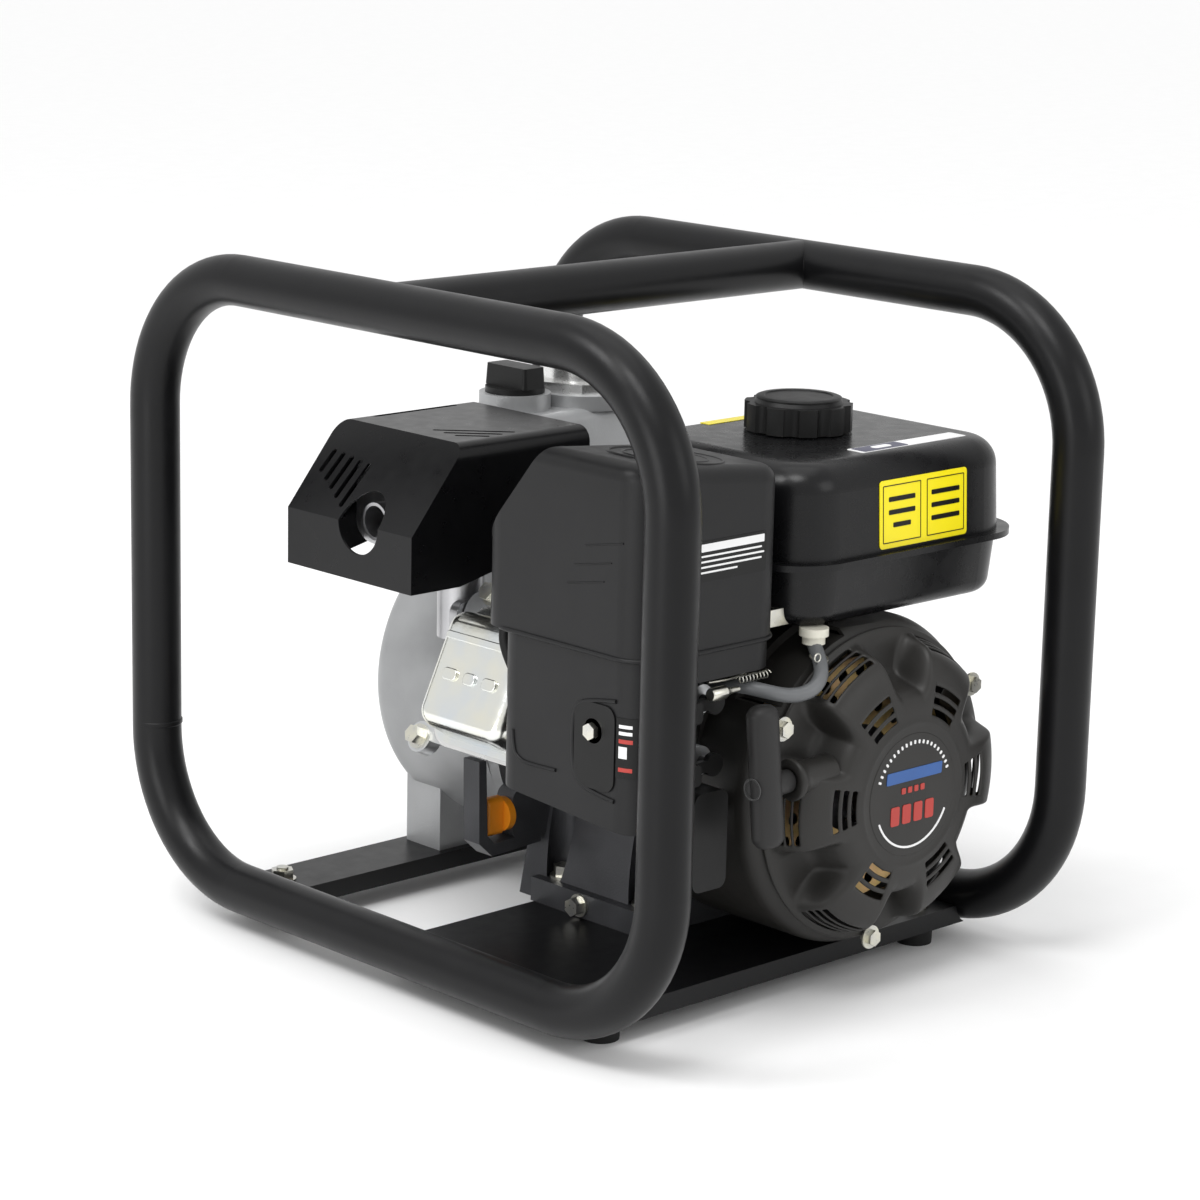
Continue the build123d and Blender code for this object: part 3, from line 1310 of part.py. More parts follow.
SUCTION_Z = 188.0
PUMP_FOOT_X = 56.0
NECK_X = (14.0, 152.0)
NECK_Y = (104.0, 176.0)


def pump_shell(inset):
    """Solid of the pump casing, shrunk by the inset: drum, neck and deck."""
    with BuildPart() as shell:
        with BuildSketch(side_plane(PUMP_Y[1] - inset)):
            with Locations((CRANK_X, PUMP_Z)):
                Circle(PUMP_R - inset)
        extrude(amount=PUMP_Y[1] - PUMP_Y[0] - inset)
        fillet(shell.faces().sort_by(Axis.Y)[-1].edges(), 14)
        with BuildSketch(Plane.XY.offset(PUMP_Z + 60)):
            with Locations((sum(NECK_X) / 2, sum(NECK_Y) / 2)):
                RectangleRounded(NECK_X[1] - NECK_X[0] - 2 * inset, NECK_Y[1] - NECK_Y[0] - 2 * inset, 18)
        extrude(amount=DECK_Z - PUMP_Z - 60 - inset)
        fillet(shell.faces().sort_by(Axis.Z)[-1].edges(), 8)
    return shell.part


pump_outside = pump_shell(0)
pump_inside = pump_shell(PUMP_WALL)

with BuildPart() as pump_casing:
    with Locations((CRANK_X - PUMP_FOOT_X, 150, 50), (CRANK_X + PUMP_FOOT_X, 150, 50)):
        Box(34, 34, 2 * (50 - RAIL_TOP))
    add(pump_outside)
    with BuildSketch(Plane.XY.offset(DECK_Z - 2)):
        with Locations(FILLER):
            Circle(24)
    extrude(amount=13)
    with BuildSketch(Plane.XY.offset(DECK_Z - 2)):
        with Locations(OUTLET):
            Circle(42)
    extrude(amount=10)
    with BuildSketch(Plane(origin=(CRANK_X, PUMP_Y[1] - 1, SUCTION_Z), z_dir=(0, 1, 0))):
        Circle(42)
    extrude(amount=11)
    add(pump_inside, mode=Mode.SUBTRACT)
    with BuildSketch(Plane.XY.offset(DECK_Z - 20)):
        with Locations(FILLER):
            Circle(18)
        with Locations(OUTLET):
            Circle(PORT_BORE_R)
    extrude(amount=40, mode=Mode.SUBTRACT)
    with BuildSketch(Plane(origin=(CRANK_X, PUMP_Y[1] - 20, SUCTION_Z), z_dir=(0, 1, 0))):
        Circle(PORT_BORE_R)
    extrude(amount=40, mode=Mode.SUBTRACT)
save(pump_casing, "pump_casing")


def pipe_stub(plane):
    """Threaded hose connection: a flange ring and the pipe stub standing on it."""
    with BuildPart() as stub:
        with BuildSketch(plane):
            RegularPolygon(38, 8)
            Circle(PORT_BORE_R, mode=Mode.SUBTRACT)
        extrude(amount=7)
        with BuildSketch(plane.offset(7)):
            Circle(PORT_R)
            Circle(PORT_BORE_R, mode=Mode.SUBTRACT)
        extrude(amount=PORT_LEN)
    return stub


suction_port = pipe_stub(Plane(origin=(CRANK_X, PUMP_Y[1] + 10, SUCTION_Z), z_dir=(0, 1, 0)))
save(suction_port, "suction_port")

discharge_port = pipe_stub(Plane(origin=(*OUTLET, DECK_Z + 8), z_dir=(0, 0, 1)))
save(discharge_port, "discharge_port")

FLAP_Y = PUMP_Y[1] - PUMP_WALL

with BuildPart() as suction_flap:
    with BuildSketch(Plane(origin=(CRANK_X, FLAP_Y - GAP, SUCTION_Z), z_dir=(0, -1, 0))):
        Circle(28)
        with Locations((0, 29)):
            Rectangle(22, 10)
    extrude(amount=3)
save(suction_flap, "suction_flap")

with BuildPart() as priming_plug:
    with BuildSketch(Plane.XY.offset(DECK_Z + 11)):
        with Locations(FILLER):
            Circle(20)
    extrude(amount=4)
    with BuildSketch(Plane.XY.offset(DECK_Z + 15)):
        with Locations(FILLER):
            RectangleRounded(20, 40, 3)
    extrude(amount=14, taper=4)
    with BuildSketch(Plane.XY.offset(DECK_Z + 11)):
        with Locations(FILLER):
            Circle(18 - RUN)
    extrude(amount=-14)
save(priming_plug, "priming_plug")

with BuildPart() as pump_drain_plug:
    with BuildSketch(Plane(origin=(CRANK_X, PUMP_Y[1], PUMP_Z - 78), z_dir=(0, 1, 0))):
        Circle(13)
    extrude(amount=6)
    with BuildSketch(Plane(origin=(CRANK_X, PUMP_Y[1] + 6, PUMP_Z - 78), z_dir=(0, 1, 0))):
        RectangleRounded(22, 7, 3)
    extrude(amount=10)
save(pump_drain_plug, "pump_drain_plug")
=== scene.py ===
"""Looks of the engine-driven water pump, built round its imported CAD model.

Millimetres in the tables and helpers, metres in Blender. X runs along the top handle, Y along
the crankshaft (recoil starter towards -Y, pump towards +Y), Z is up.
"""
import json
import math

import bmesh
import bpy
from mathutils import Matrix, Vector


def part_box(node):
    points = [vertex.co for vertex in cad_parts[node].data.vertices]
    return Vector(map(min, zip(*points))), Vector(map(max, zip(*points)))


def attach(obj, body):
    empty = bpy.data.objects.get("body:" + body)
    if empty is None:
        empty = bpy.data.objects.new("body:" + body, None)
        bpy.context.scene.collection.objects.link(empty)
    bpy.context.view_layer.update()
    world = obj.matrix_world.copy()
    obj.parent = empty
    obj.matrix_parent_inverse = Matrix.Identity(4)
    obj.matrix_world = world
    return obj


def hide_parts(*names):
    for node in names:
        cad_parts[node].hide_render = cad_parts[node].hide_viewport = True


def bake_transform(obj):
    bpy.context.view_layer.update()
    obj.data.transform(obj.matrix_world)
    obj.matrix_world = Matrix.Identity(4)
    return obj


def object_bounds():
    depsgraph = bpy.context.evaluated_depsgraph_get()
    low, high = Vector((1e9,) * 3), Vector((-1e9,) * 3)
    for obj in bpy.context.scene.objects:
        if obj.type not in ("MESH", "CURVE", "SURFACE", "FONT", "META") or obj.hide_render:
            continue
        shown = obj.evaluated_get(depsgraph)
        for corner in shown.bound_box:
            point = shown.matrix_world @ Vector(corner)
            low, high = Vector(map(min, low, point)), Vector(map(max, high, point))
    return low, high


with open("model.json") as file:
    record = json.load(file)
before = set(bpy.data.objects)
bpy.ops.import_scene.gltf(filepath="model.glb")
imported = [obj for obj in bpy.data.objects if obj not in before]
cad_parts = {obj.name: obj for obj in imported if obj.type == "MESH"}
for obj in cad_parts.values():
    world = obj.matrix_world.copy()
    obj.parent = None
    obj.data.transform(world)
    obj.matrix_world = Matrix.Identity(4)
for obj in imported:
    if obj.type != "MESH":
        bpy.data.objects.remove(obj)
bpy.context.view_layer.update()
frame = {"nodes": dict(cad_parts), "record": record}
MM = 0.001
X, Y, Z = Vector((1, 0, 0)), Vector((0, 1, 0)), Vector((0, 0, 1))


def mm_box(node):
    """Lowest and highest corner of a CAD node in millimetres."""
    low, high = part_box(node)
    return low / MM, high / MM


# ---------------------------------------------------------------- camera
CAMERA_AT = (-1.5238, -1.5863, 0.7314)
YAW, PITCH, ROLL = math.radians(46.196), math.radians(13.119), math.radians(1.2817)
SENSOR_WIDTH, FOCAL_LENGTH = 36, 106.33

look = Vector((math.cos(YAW) * math.cos(PITCH), math.sin(YAW) * math.cos(PITCH), -math.sin(PITCH)))
level = look.cross(Z).normalized()
upright = level.cross(look)
camera_x = math.cos(ROLL) * level + math.sin(ROLL) * upright
camera_y = math.cos(ROLL) * upright - math.sin(ROLL) * level
camera = bpy.data.objects.new("camera", bpy.data.cameras.new("camera"))
camera.data.sensor_width = SENSOR_WIDTH
camera.data.lens = FOCAL_LENGTH
turned_to_look = Matrix((camera_x, camera_y, -look)).transposed().to_4x4()
camera.matrix_world = Matrix.Translation(CAMERA_AT) @ turned_to_look
bpy.context.scene.collection.objects.link(camera)
bpy.context.scene.camera = camera


# ---------------------------------------------------------------- materials
def finish_of(slot, colour, metallic, roughness, grain=1.0, bump=0.1, mottle=0.12, patch=40.0,
              coat=0.0, rough_spread=0.08, tint=None, sheen=0.0, specular=0.5):
    """Procedural material: mottled colour, uneven roughness and a fine bump, sizes in millimetres."""
    material = bpy.data.materials.new(slot)
    material.use_nodes = True
    nodes, links = material.node_tree.nodes, material.node_tree.links
    shader = nodes["Principled BSDF"]
    shader.inputs["Metallic"].default_value = metallic
    shader.inputs["Coat Weight"].default_value = coat
    shader.inputs["Coat Roughness"].default_value = 0.12
    shader.inputs["Sheen Weight"].default_value = sheen
    shader.inputs["Specular IOR Level"].default_value = specular
    place = nodes.new("ShaderNodeTexCoord")

    def noise(size_mm, detail):
        texture = nodes.new("ShaderNodeTexNoise")
        texture.inputs["Scale"].default_value = 1 / (size_mm * MM)
        texture.inputs["Detail"].default_value = detail
        links.new(place.outputs["Object"], texture.inputs["Vector"])
        return texture

    patches = noise(patch, 4)
    ramp = nodes.new("ShaderNodeValToRGB")
    other = tint or colour
    ramp.color_ramp.elements[0].position = 0.3
    ramp.color_ramp.elements[0].color = (*[c * (1 - mottle) for c in colour], 1)
    ramp.color_ramp.elements[1].position = 0.72
    ramp.color_ramp.elements[1].color = (*[min(1, c * (1 + mottle)) for c in other], 1)
    links.new(patches.outputs["Fac"], ramp.inputs["Fac"])
    links.new(ramp.outputs["Color"], shader.inputs["Base Color"])

    smears = noise(patch / 4, 5)
    spread = nodes.new("ShaderNodeMapRange")
    spread.inputs["To Min"].default_value = max(0.03, roughness - rough_spread)
    spread.inputs["To Max"].default_value = min(1.0, roughness + rough_spread)
    links.new(smears.outputs["Fac"], spread.inputs["Value"])
    links.new(spread.outputs["Result"], shader.inputs["Roughness"])

    surface = nodes.new("ShaderNodeBump")
    surface.inputs["Strength"].default_value = 0.6
    surface.inputs["Distance"].default_value = bump * MM
    links.new(noise(grain, 3).outputs["Fac"], surface.inputs["Height"])
    links.new(surface.outputs["Normal"], shader.inputs["Normal"])
    return material


FINISHES = {
    "frame_black": dict(colour=(0.0045, 0.0045, 0.005), metallic=0, roughness=0.34, grain=1.6,
                        bump=0.05, specular=0.22),
    "guard_black": dict(colour=(0.0035, 0.0035, 0.004), metallic=0, roughness=0.3, grain=2.5,
                        bump=0.06, specular=0.24),
    "tank_black": dict(colour=(0.004, 0.004, 0.0045), metallic=0, roughness=0.28, grain=3, bump=0.04,
                       specular=0.28),
    "black_rubber": dict(colour=(0.006, 0.006, 0.006), metallic=0, roughness=0.62, grain=0.9,
                         bump=0.08, specular=0.25),
    "black_plastic": dict(colour=(0.006, 0.006, 0.006), metallic=0, roughness=0.42, grain=0.8,
                          bump=0.06, specular=0.25),
    "charcoal_plastic": dict(colour=(0.0085, 0.0085, 0.009), metallic=0, roughness=0.42, grain=0.7,
                             bump=0.07, specular=0.26),
    "shroud_grey": dict(colour=(0.021, 0.020, 0.0185), metallic=0.1, roughness=0.44, grain=1.1,
                        bump=0.12, specular=0.35),
    "grip_grey": dict(colour=(0.017, 0.0165, 0.0165), metallic=0, roughness=0.5, grain=0.9, bump=0.1,
                      specular=0.35),
    "rope_black": dict(colour=(0.015, 0.015, 0.015), metallic=0, roughness=0.85, grain=0.6, bump=0.3,
                       sheen=0.4),
    "engine_grey": dict(colour=(0.060, 0.061, 0.066), metallic=0.45, roughness=0.42, grain=1.4,
                        bump=0.22, mottle=0.2),
    "cast_iron": dict(colour=(0.12, 0.12, 0.12), metallic=0.7, roughness=0.6, grain=1.2, bump=0.3,
                      mottle=0.25),
    "cast_aluminium": dict(colour=(0.36, 0.365, 0.37), metallic=0.55, roughness=0.42, grain=1.2,
                           bump=0.16),
    "bright_aluminium": dict(colour=(0.78, 0.78, 0.77), metallic=0.9, roughness=0.26, grain=0.8,
                             bump=0.05),
    "machined_aluminium": dict(colour=(0.55, 0.56, 0.57), metallic=0.9, roughness=0.35, grain=1.0,
                               bump=0.12),
    "machined_steel": dict(colour=(0.42, 0.42, 0.43), metallic=1, roughness=0.34, grain=0.8, bump=0.06,
                           mottle=0.2),
    "zinc_steel": dict(colour=(0.62, 0.62, 0.60), metallic=1, roughness=0.3, grain=0.9, bump=0.06,
                       tint=(0.68, 0.66, 0.55), mottle=0.1, patch=9),
    "bright_zinc": dict(colour=(0.80, 0.84, 0.87), metallic=1, roughness=0.2, grain=3.5, bump=0.1,
                        tint=(0.80, 0.79, 0.70), mottle=0.06, patch=26),
    "yellow_zinc": dict(colour=(0.62, 0.47, 0.16), metallic=1, roughness=0.34, grain=1.2, bump=0.06,
                        tint=(0.70, 0.45, 0.25), patch=12),
    "orange_plastic": dict(colour=(0.80, 0.27, 0.012), metallic=0, roughness=0.34, grain=1.0,
                           bump=0.05, mottle=0.08),
    "pale_plastic": dict(colour=(0.72, 0.70, 0.60), metallic=0, roughness=0.42, grain=1.0, bump=0.04,
                         mottle=0.05),
    "hose_grey": dict(colour=(0.12, 0.125, 0.13), metallic=0, roughness=0.36, grain=1.0, bump=0.05),
    "filter_foam": dict(colour=(0.50, 0.44, 0.30), metallic=0, roughness=0.9, grain=1.6, bump=0.9),
    "print_white": dict(colour=(0.80, 0.80, 0.80), metallic=0, roughness=0.35, grain=1.0, bump=0.01,
                        mottle=0.03),
    "print_yellow": dict(colour=(0.88, 0.74, 0.0), metallic=0, roughness=0.32, grain=1.0, bump=0.01,
                         mottle=0.03),
    "print_blue": dict(colour=(0.02, 0.09, 0.30), metallic=0, roughness=0.4, grain=1.0, bump=0.01,
                       mottle=0.05),
    "print_navy": dict(colour=(0.02, 0.02, 0.06), metallic=0, roughness=0.35, grain=1.0, bump=0.01,
                       mottle=0.05),
    "print_red": dict(colour=(0.42, 0.03, 0.02), metallic=0, roughness=0.4, grain=1.0, bump=0.01,
                      mottle=0.05),
    "plate_black": dict(colour=(0.004, 0.004, 0.004), metallic=0, roughness=0.3, grain=1.0, bump=0.01,
                        mottle=0.05, specular=0.25),
    "switch_red": dict(colour=(0.50, 0.02, 0.012), metallic=0, roughness=0.3, grain=1.0, bump=0.03),
}
materials = {slot: finish_of(slot, **values) for slot, values in FINISHES.items()}

EDGE_BEVEL = 0.7
slot_of = {entry["node"]: entry["material_slot"] for entry in frame["record"]["subparts"]}
for node_name, node in frame["nodes"].items():
    node.data.materials.clear()
    node.data.materials.append(materials[slot_of[node_name]])
    edge = node.modifiers.new("edge", "BEVEL")
    edge.width = EDGE_BEVEL * MM
    edge.segments = 2
    edge.limit_method = "ANGLE"
    edge.angle_limit = math.radians(35)
    edge.harden_normals = True
    for face in node.data.polygons:
        face.use_smooth = True

# ---------------------------------------------------------------- floor and light
FLOOR_HALF = 12
corners = ((-1, -1), (1, -1), (1, 1), (-1, 1))
floor_mesh = bpy.data.meshes.new("floor")
floor_mesh.from_pydata([(FLOOR_HALF * a, FLOOR_HALF * b, 0) for a, b in corners], [], [(0, 1, 2, 3)])
floor = bpy.data.objects.new("floor", floor_mesh)
floor.location.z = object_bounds()[0].z
bpy.context.scene.collection.objects.link(floor)
floor_finish = dict(colour=(0.86, 0.86, 0.86), metallic=0, roughness=0.6, grain=8, bump=0.02, mottle=0.01)
floor.data.materials.append(finish_of("studio_floor", **floor_finish))


def area_light(name, at, target, size, power):
    """Square soft light aimed at a target, in metres and watts."""
    light = bpy.data.objects.new(name, bpy.data.lights.new(name, "AREA"))
    light.data.size = size
    light.data.energy = power
    light.location = at
    light.rotation_euler = (Vector(target) - Vector(at)).to_track_quat("-Z", "Y").to_euler()
    bpy.context.scene.collection.objects.link(light)


area_light("key", (-1.7, 0.5, 2.1), (0, 0, 0.25), 0.8, 20)
area_light("front", (0.6, -2.6, 1.4), (0, 0, 0.2), 1.4, 10)
area_light("side", (-2.8, -0.4, 0.7), (0, 0, 0.25), 1.2, 16)
area_light("top", (0.1, 0.1, 2.4), (0, 0, 0.2), 1.6, 8)
SUN_FROM = (-1.2, -0.5, 2.4)
sun = bpy.data.objects.new("sun", bpy.data.lights.new("sun", "SUN"))
sun.data.energy = 1.1
sun.data.angle = math.radians(24)
sun.rotation_euler = (-Vector(SUN_FROM)).to_track_quat("-Z", "Y").to_euler()
bpy.context.scene.collection.objects.link(sun)

world = bpy.data.worlds.new("studio")
world.use_nodes = True
world.node_tree.nodes["Background"].inputs["Color"].default_value = (1, 1, 1, 1)
world.node_tree.nodes["Background"].inputs["Strength"].default_value = 0.85
bpy.context.scene.world = world
bpy.context.scene.view_settings.view_transform = "Standard"


# ---------------------------------------------------------------- building helpers
def circle(radius, count=48, start=0.0):
    """Points of a circle in the plane of the form."""
    turns = [start + 2 * math.pi * i / count for i in range(count)]
    return [(radius * math.cos(t), radius * math.sin(t)) for t in turns]


def rounded(width, height, radius, centre=(0, 0), steps=5):
    """Rectangle with rounded corners."""
    points = []
    for quarter, (sx, sy) in enumerate(((1, 1), (-1, 1), (-1, -1), (1, -1))):
        for i in range(steps + 1):
            turn = math.pi / 2 * (quarter + i / steps)
            points.append((
                centre[0] + sx * (width / 2 - radius) + radius * math.cos(turn),
                centre[1] + sy * (height / 2 - radius) + radius * math.sin(turn),
            ))
    return points


def arc_band(radius, width, start, end, steps=24):
    """Outline of a flat arc between two angles in degrees."""
    turns = [math.radians(start + (end - start) * i / steps) for i in range(steps + 1)]
    outer = [((radius + width / 2) * math.cos(t), (radius + width / 2) * math.sin(t)) for t in turns]
    inner = [((radius - width / 2) * math.cos(t), (radius - width / 2) * math.sin(t)) for t in turns]
    return outer + inner[::-1]


class Form:
    """A mesh gathered from lofts, prisms and turned shapes, sizes in millimetres."""

    def __init__(self):
        self.mesh = bmesh.new()

    def loft(self, rings, capped=True):
        """Skin over rings of equal point counts, with the ends capped."""
        rows = [[self.mesh.verts.new(Vector(point) * MM) for point in ring] for ring in rings]
        for row, after in zip(rows, rows[1:]):
            for i in range(len(row)):
                j = (i + 1) % len(row)
                self.mesh.faces.new((row[i], row[j], after[j], after[i]))
        if capped:
            self.mesh.faces.new(rows[0][::-1])
            self.mesh.faces.new(rows[-1])
        return self

    def prism(self, outline, at, right, up, depth):
        """Outline in the right-up plane, pushed out by depth along right x up."""
        at, right, up = Vector(at), Vector(right).normalized(), Vector(up).normalized()
        out = right.cross(up)
        bottom = [at + a * right + b * up for a, b in outline]
        top = [at + a * right + b * up + depth * out for a, b in outline]
        return self.loft([bottom, top])

    def turned(self, profile, at, axis, count=48, closed=False):
        """Profile of (distance along the axis, radius), turned about the axis."""
        at, axis = Vector(at), Vector(axis).normalized()
        side = axis.orthogonal().normalized()
        other = axis.cross(side)
        rings = [
            [at + h * axis + a * side + b * other for a, b in circle(max(r, 0.01), count)]
            for h, r in profile
        ]
        if closed:
            rings.append(rings[0])
        return self.loft(rings, capped=not closed)

    def done(self, name, slot, body="chassis", bevel=0.0, smooth_angle=35, replaces=()):
        """Finishes the form as a piece riding on a body."""
        bmesh.ops.remove_doubles(self.mesh, verts=self.mesh.verts, dist=1e-7)
        bmesh.ops.recalc_face_normals(self.mesh, faces=self.mesh.faces)
        data = bpy.data.meshes.new(name)
        self.mesh.to_mesh(data)
        self.mesh.free()
        piece = bpy.data.objects.new(name, data)
        return settle(piece, slot, body, bevel, smooth_angle, replaces)


def settle(piece, slot, body, bevel=0.0, smooth_angle=35, replaces=()):
    """Links a piece, gives it its material and rides it on its body."""
    bpy.context.scene.collection.objects.link(piece)
    piece.data.materials.append(materials[slot])
    if piece.type == "MESH":
        for face in piece.data.polygons:
            face.use_smooth = True
        piece.data.set_sharp_from_angle(angle=math.radians(smooth_angle))
    if bevel:
        rounding = piece.modifiers.new("rounding", "BEVEL")
        rounding.width = bevel * MM
        rounding.segments = 3
        rounding.limit_method = "ANGLE"
        rounding.angle_limit = math.radians(30)
        rounding.harden_normals = True
    if replaces:
        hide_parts(*replaces)
    if body:
        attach(piece, body)
    return piece


def tube(name, points, radius, slot, body="chassis", replaces=(), closed=False, sides=4):
    """Round tube along a smooth spline that has these points as control points."""
    data = bpy.data.curves.new(name, "CURVE")
    data.dimensions = "3D"
    data.bevel_depth = radius * MM
    data.bevel_resolution = sides
    data.resolution_u = 16
    data.use_fill_caps = not closed
    spline = data.splines.new("NURBS")
    spline.points.add(len(points) - 1)
    for place, point in zip(spline.points, points):
        place.co = (*(Vector(point) * MM), 1)
    spline.use_cyclic_u = closed
    spline.use_endpoint_u = not closed
    spline.order_u = 3
    return settle(bpy.data.objects.new(name, data), slot, body, replaces=replaces)


# ---------------------------------------------------------------- frame details
TUBE_R = 16.0
BEAD_OFFSET, BEAD_RADIUS = 1.2, 1.7
SADDLE_Y, SADDLE_Z = 14.6, 14.2      # radii of the bead round the handle, just inside its surface
near_high = mm_box("near_loop")[1]
loop_x = near_high.x - TUBE_R
handle_z = near_high.z - TUBE_R
bead_turns = [2 * math.pi * i / 40 for i in range(40)]
for side, name in ((-1, "near_weld"), (1, "far_weld")):
    bead = [
        (side * (abs(loop_x) - abs(SADDLE_Y * math.cos(t)) - BEAD_OFFSET), SADDLE_Y * math.cos(t),
         handle_z + SADDLE_Z * math.sin(t))
        for t in bead_turns
    ]
    tube(name, bead, BEAD_RADIUS, "frame_black", closed=True)
JOINT_SHIFT, JOINT_Z = 0.3, 118      # the joint's ring sits inwards, so it stays inside the frame's outside
joint_at = (loop_x + JOINT_SHIFT, near_high.y - TUBE_R - JOINT_SHIFT, JOINT_Z)
sleeve = Form().turned([(0, 15.7), (0.6, 16.25), (3.0, 16.25), (3.6, 15.7)], joint_at, Z)
sleeve.done("tube_joint", "frame_black")

# ---------------------------------------------------------------- recoil cover
CRANK = Vector((54, 0, 130))
SHROUD_FACE_Y = -186.0
LOBES = 6
FULL_TURN = 360
LOBE_PITCH = FULL_TURN // LOBES
# (radius, height over the shroud) along a lobe and along a notch, station by station
LOBE_PROFILE = [
    (36, 33.6), (38, 34), (43, 34), (44.5, 34.9), (46, 34.3), (50, 33.8), (53.5, 33.5), (57, 33.1),
    (60.5, 32.6), (64, 32), (67.5, 31.4), (73, 30.2), (78, 28.6), (82.5, 26.6), (86, 24.2), (88.2, 21.6),
    (89.6, 18.6), (90.4, 16.6), (91.4, 13.6), (92.1, 11.6), (93.0, 8.6), (93.6, 6.6), (94.4, 3.8),
    (95.5, 2.6), (98, 2.2), (98.5, 0.4),
]
NOTCH_PROFILE = [
    (36, 33.6), (38, 34), (43, 34), (44.5, 34.9), (46, 34.3), (49, 33.9), (52, 33.6), (55, 33.2), (58, 32.4),
    (60.5, 31), (62.5, 28.6), (64, 25.4), (65, 21.6), (66, 17.6), (67, 13.6), (68, 10.4), (69.4, 7.8),
    (71, 6.2), (73.5, 5.2), (77, 4.6), (81, 4.2), (85, 4), (90, 3.8), (94, 3.4), (98, 2.2), (98.5, 0.4),
]
# station at a slot's inner edge: half of the slot's width in degrees
SLOT_ROWS = {5: 12, 7: 12, 9: 12, 15: 13, 17: 13, 19: 13, 21: 12}
NOTCH_FULL, NOTCH_END = 8.0, 15.0


def notch_share(degrees):
    """1 in the middle of a notch, 0 on a lobe, easing between."""
    off = abs(degrees % LOBE_PITCH - LOBE_PITCH / 2)
    t = min(1.0, max(0.0, (NOTCH_END - off) / (NOTCH_END - NOTCH_FULL)))
    return t * t * (3 - 2 * t)


dish = bmesh.new()
rows = []
for lobe_at, notch_at in zip(LOBE_PROFILE, NOTCH_PROFILE):
    row = []
    for degrees in range(FULL_TURN):
        share = notch_share(degrees)
        radius = lobe_at[0] * (1 - share) + notch_at[0] * share
        height = lobe_at[1] * (1 - share) + notch_at[1] * share
        turn = math.radians(degrees)
        row.append(dish.verts.new(MM * Vector((
            CRANK.x + radius * math.cos(turn), SHROUD_FACE_Y - height, CRANK.z + radius * math.sin(turn)
        ))))
    rows.append(row)
for station, (row, after) in enumerate(zip(rows, rows[1:])):
    half_slot = SLOT_ROWS.get(station, -1)
    for degrees in range(FULL_TURN):
        off_lobe = abs((degrees + 0.5 + LOBE_PITCH / 2) % LOBE_PITCH - LOBE_PITCH / 2)
        if off_lobe < half_slot:
            continue
        following = (degrees + 1) % FULL_TURN
        dish.faces.new((row[degrees], after[degrees], after[following], row[following]))
bmesh.ops.recalc_face_normals(dish, faces=dish.faces)
dish_mesh = bpy.data.meshes.new("recoil_dish")
dish.to_mesh(dish_mesh)
dish.free()
recoil_dish = bpy.data.objects.new("recoil_dish", dish_mesh)
settle(recoil_dish, "shroud_grey", "chassis", smooth_angle=80, replaces=["recoil_cover"])
skin = recoil_dish.modifiers.new("skin", "SOLIDIFY")
skin.thickness = 1.8 * MM
skin.offset = -1
soft = recoil_dish.modifiers.new("soft", "SUBSURF")
soft.levels = soft.render_levels = 1

PULL_Y, PULL_Z = -204.0, 152.0
EYE_PROFILE = [
    (0, 10.5), (22, 10), (27, 10.6), (30, 12.6), (32, 13), (33.5, 12), (34, 9), (33, 6), (30, 4.4), (24, 4),
    (0, 4),
]
eye = Form().turned(EYE_PROFILE, (-6, PULL_Y, PULL_Z), -X, closed=True)
eye.done("rope_eye", "shroud_grey", smooth_angle=60)

BADGE_Y = SHROUD_FACE_Y - 34.0
PRINT_RING_R, PRINT_DEPTH = 33, 0.5
DOT_COUNT, DOT_START, DOT_STEP = 21, 158, 6.8      # degrees
badge_at = Vector((CRANK.x, BADGE_Y - 0.2, CRANK.z))
disc = Form().turned(
    [(-3, 38.6), (0, 38.6), (0.3, 38.2), (0.3, 20), (0.3, 0)], (CRANK.x, BADGE_Y, CRANK.z), -Y, count=96
)
disc.done("badge_disc", "shroud_grey")
dots = Form()
for i in range(DOT_COUNT):
    turn = math.radians(DOT_START - i * DOT_STEP)
    outward = Vector((math.cos(turn), 0, math.sin(turn)))
    sideways = Vector((math.sin(turn), 0, -math.cos(turn)))
    dots.prism(rounded(1.5, 2.4, 0.5, steps=2), badge_at + PRINT_RING_R * outward, sideways, outward,
               PRINT_DEPTH)
dots.prism(arc_band(PRINT_RING_R, 1.3, 205, 335), badge_at, X, Z, PRINT_DEPTH)
dots.done("badge_white", "print_white")
band = Form().prism(rounded(50, 7.5, 1, centre=(0, 13)), badge_at, X, (0.06, 0, 1), PRINT_DEPTH)
band.done("badge_blue", "print_blue")
bars = Form()
for i in range(4):
    bars.prism(rounded(3.6, 3.8, 0.6, centre=(-8.6 + 5.7 * i, 3.5), steps=2), badge_at, X, Z, PRINT_DEPTH)
    bars.prism(rounded(7.6, 12, 1.2, centre=(-15.6 + 10.4 * i, -11.5), steps=2), badge_at, X, Z, PRINT_DEPTH)
bars.done("badge_red", "print_red")

# ---------------------------------------------------------------- starter grip and rope
GRIP_X = -60.0
knot = Form().turned(
    [(0, 5.2), (0.4, 6.6), (1.2, 6.8), (1.4, 5.8), (-3.5, 5.2)], (GRIP_X - 9.8, PULL_Y, PULL_Z), -X
)
knot.done("grip_bush", "rope_black", body="starter_pull")

ROPE_R, ROPE_RIPPLE = 2.2, 0.08
ROPE_FROM_X, ROPE_STEP, ROPE_STEPS = -22, 0.25, 80
rope_rings = [
    [(x, PULL_Y + a, PULL_Z + b) for a, b in circle(ROPE_R * (1 + ROPE_RIPPLE * math.sin(3 * x)), 16)]
    for x in [ROPE_FROM_X - ROPE_STEP * i for i in range(ROPE_STEPS + 1)]
]
pull_rope = Form().loft(rope_rings).done("pull_rope", "rope_black", body=None, smooth_angle=80,
                                         replaces=["starter_rope"])
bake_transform(pull_rope)

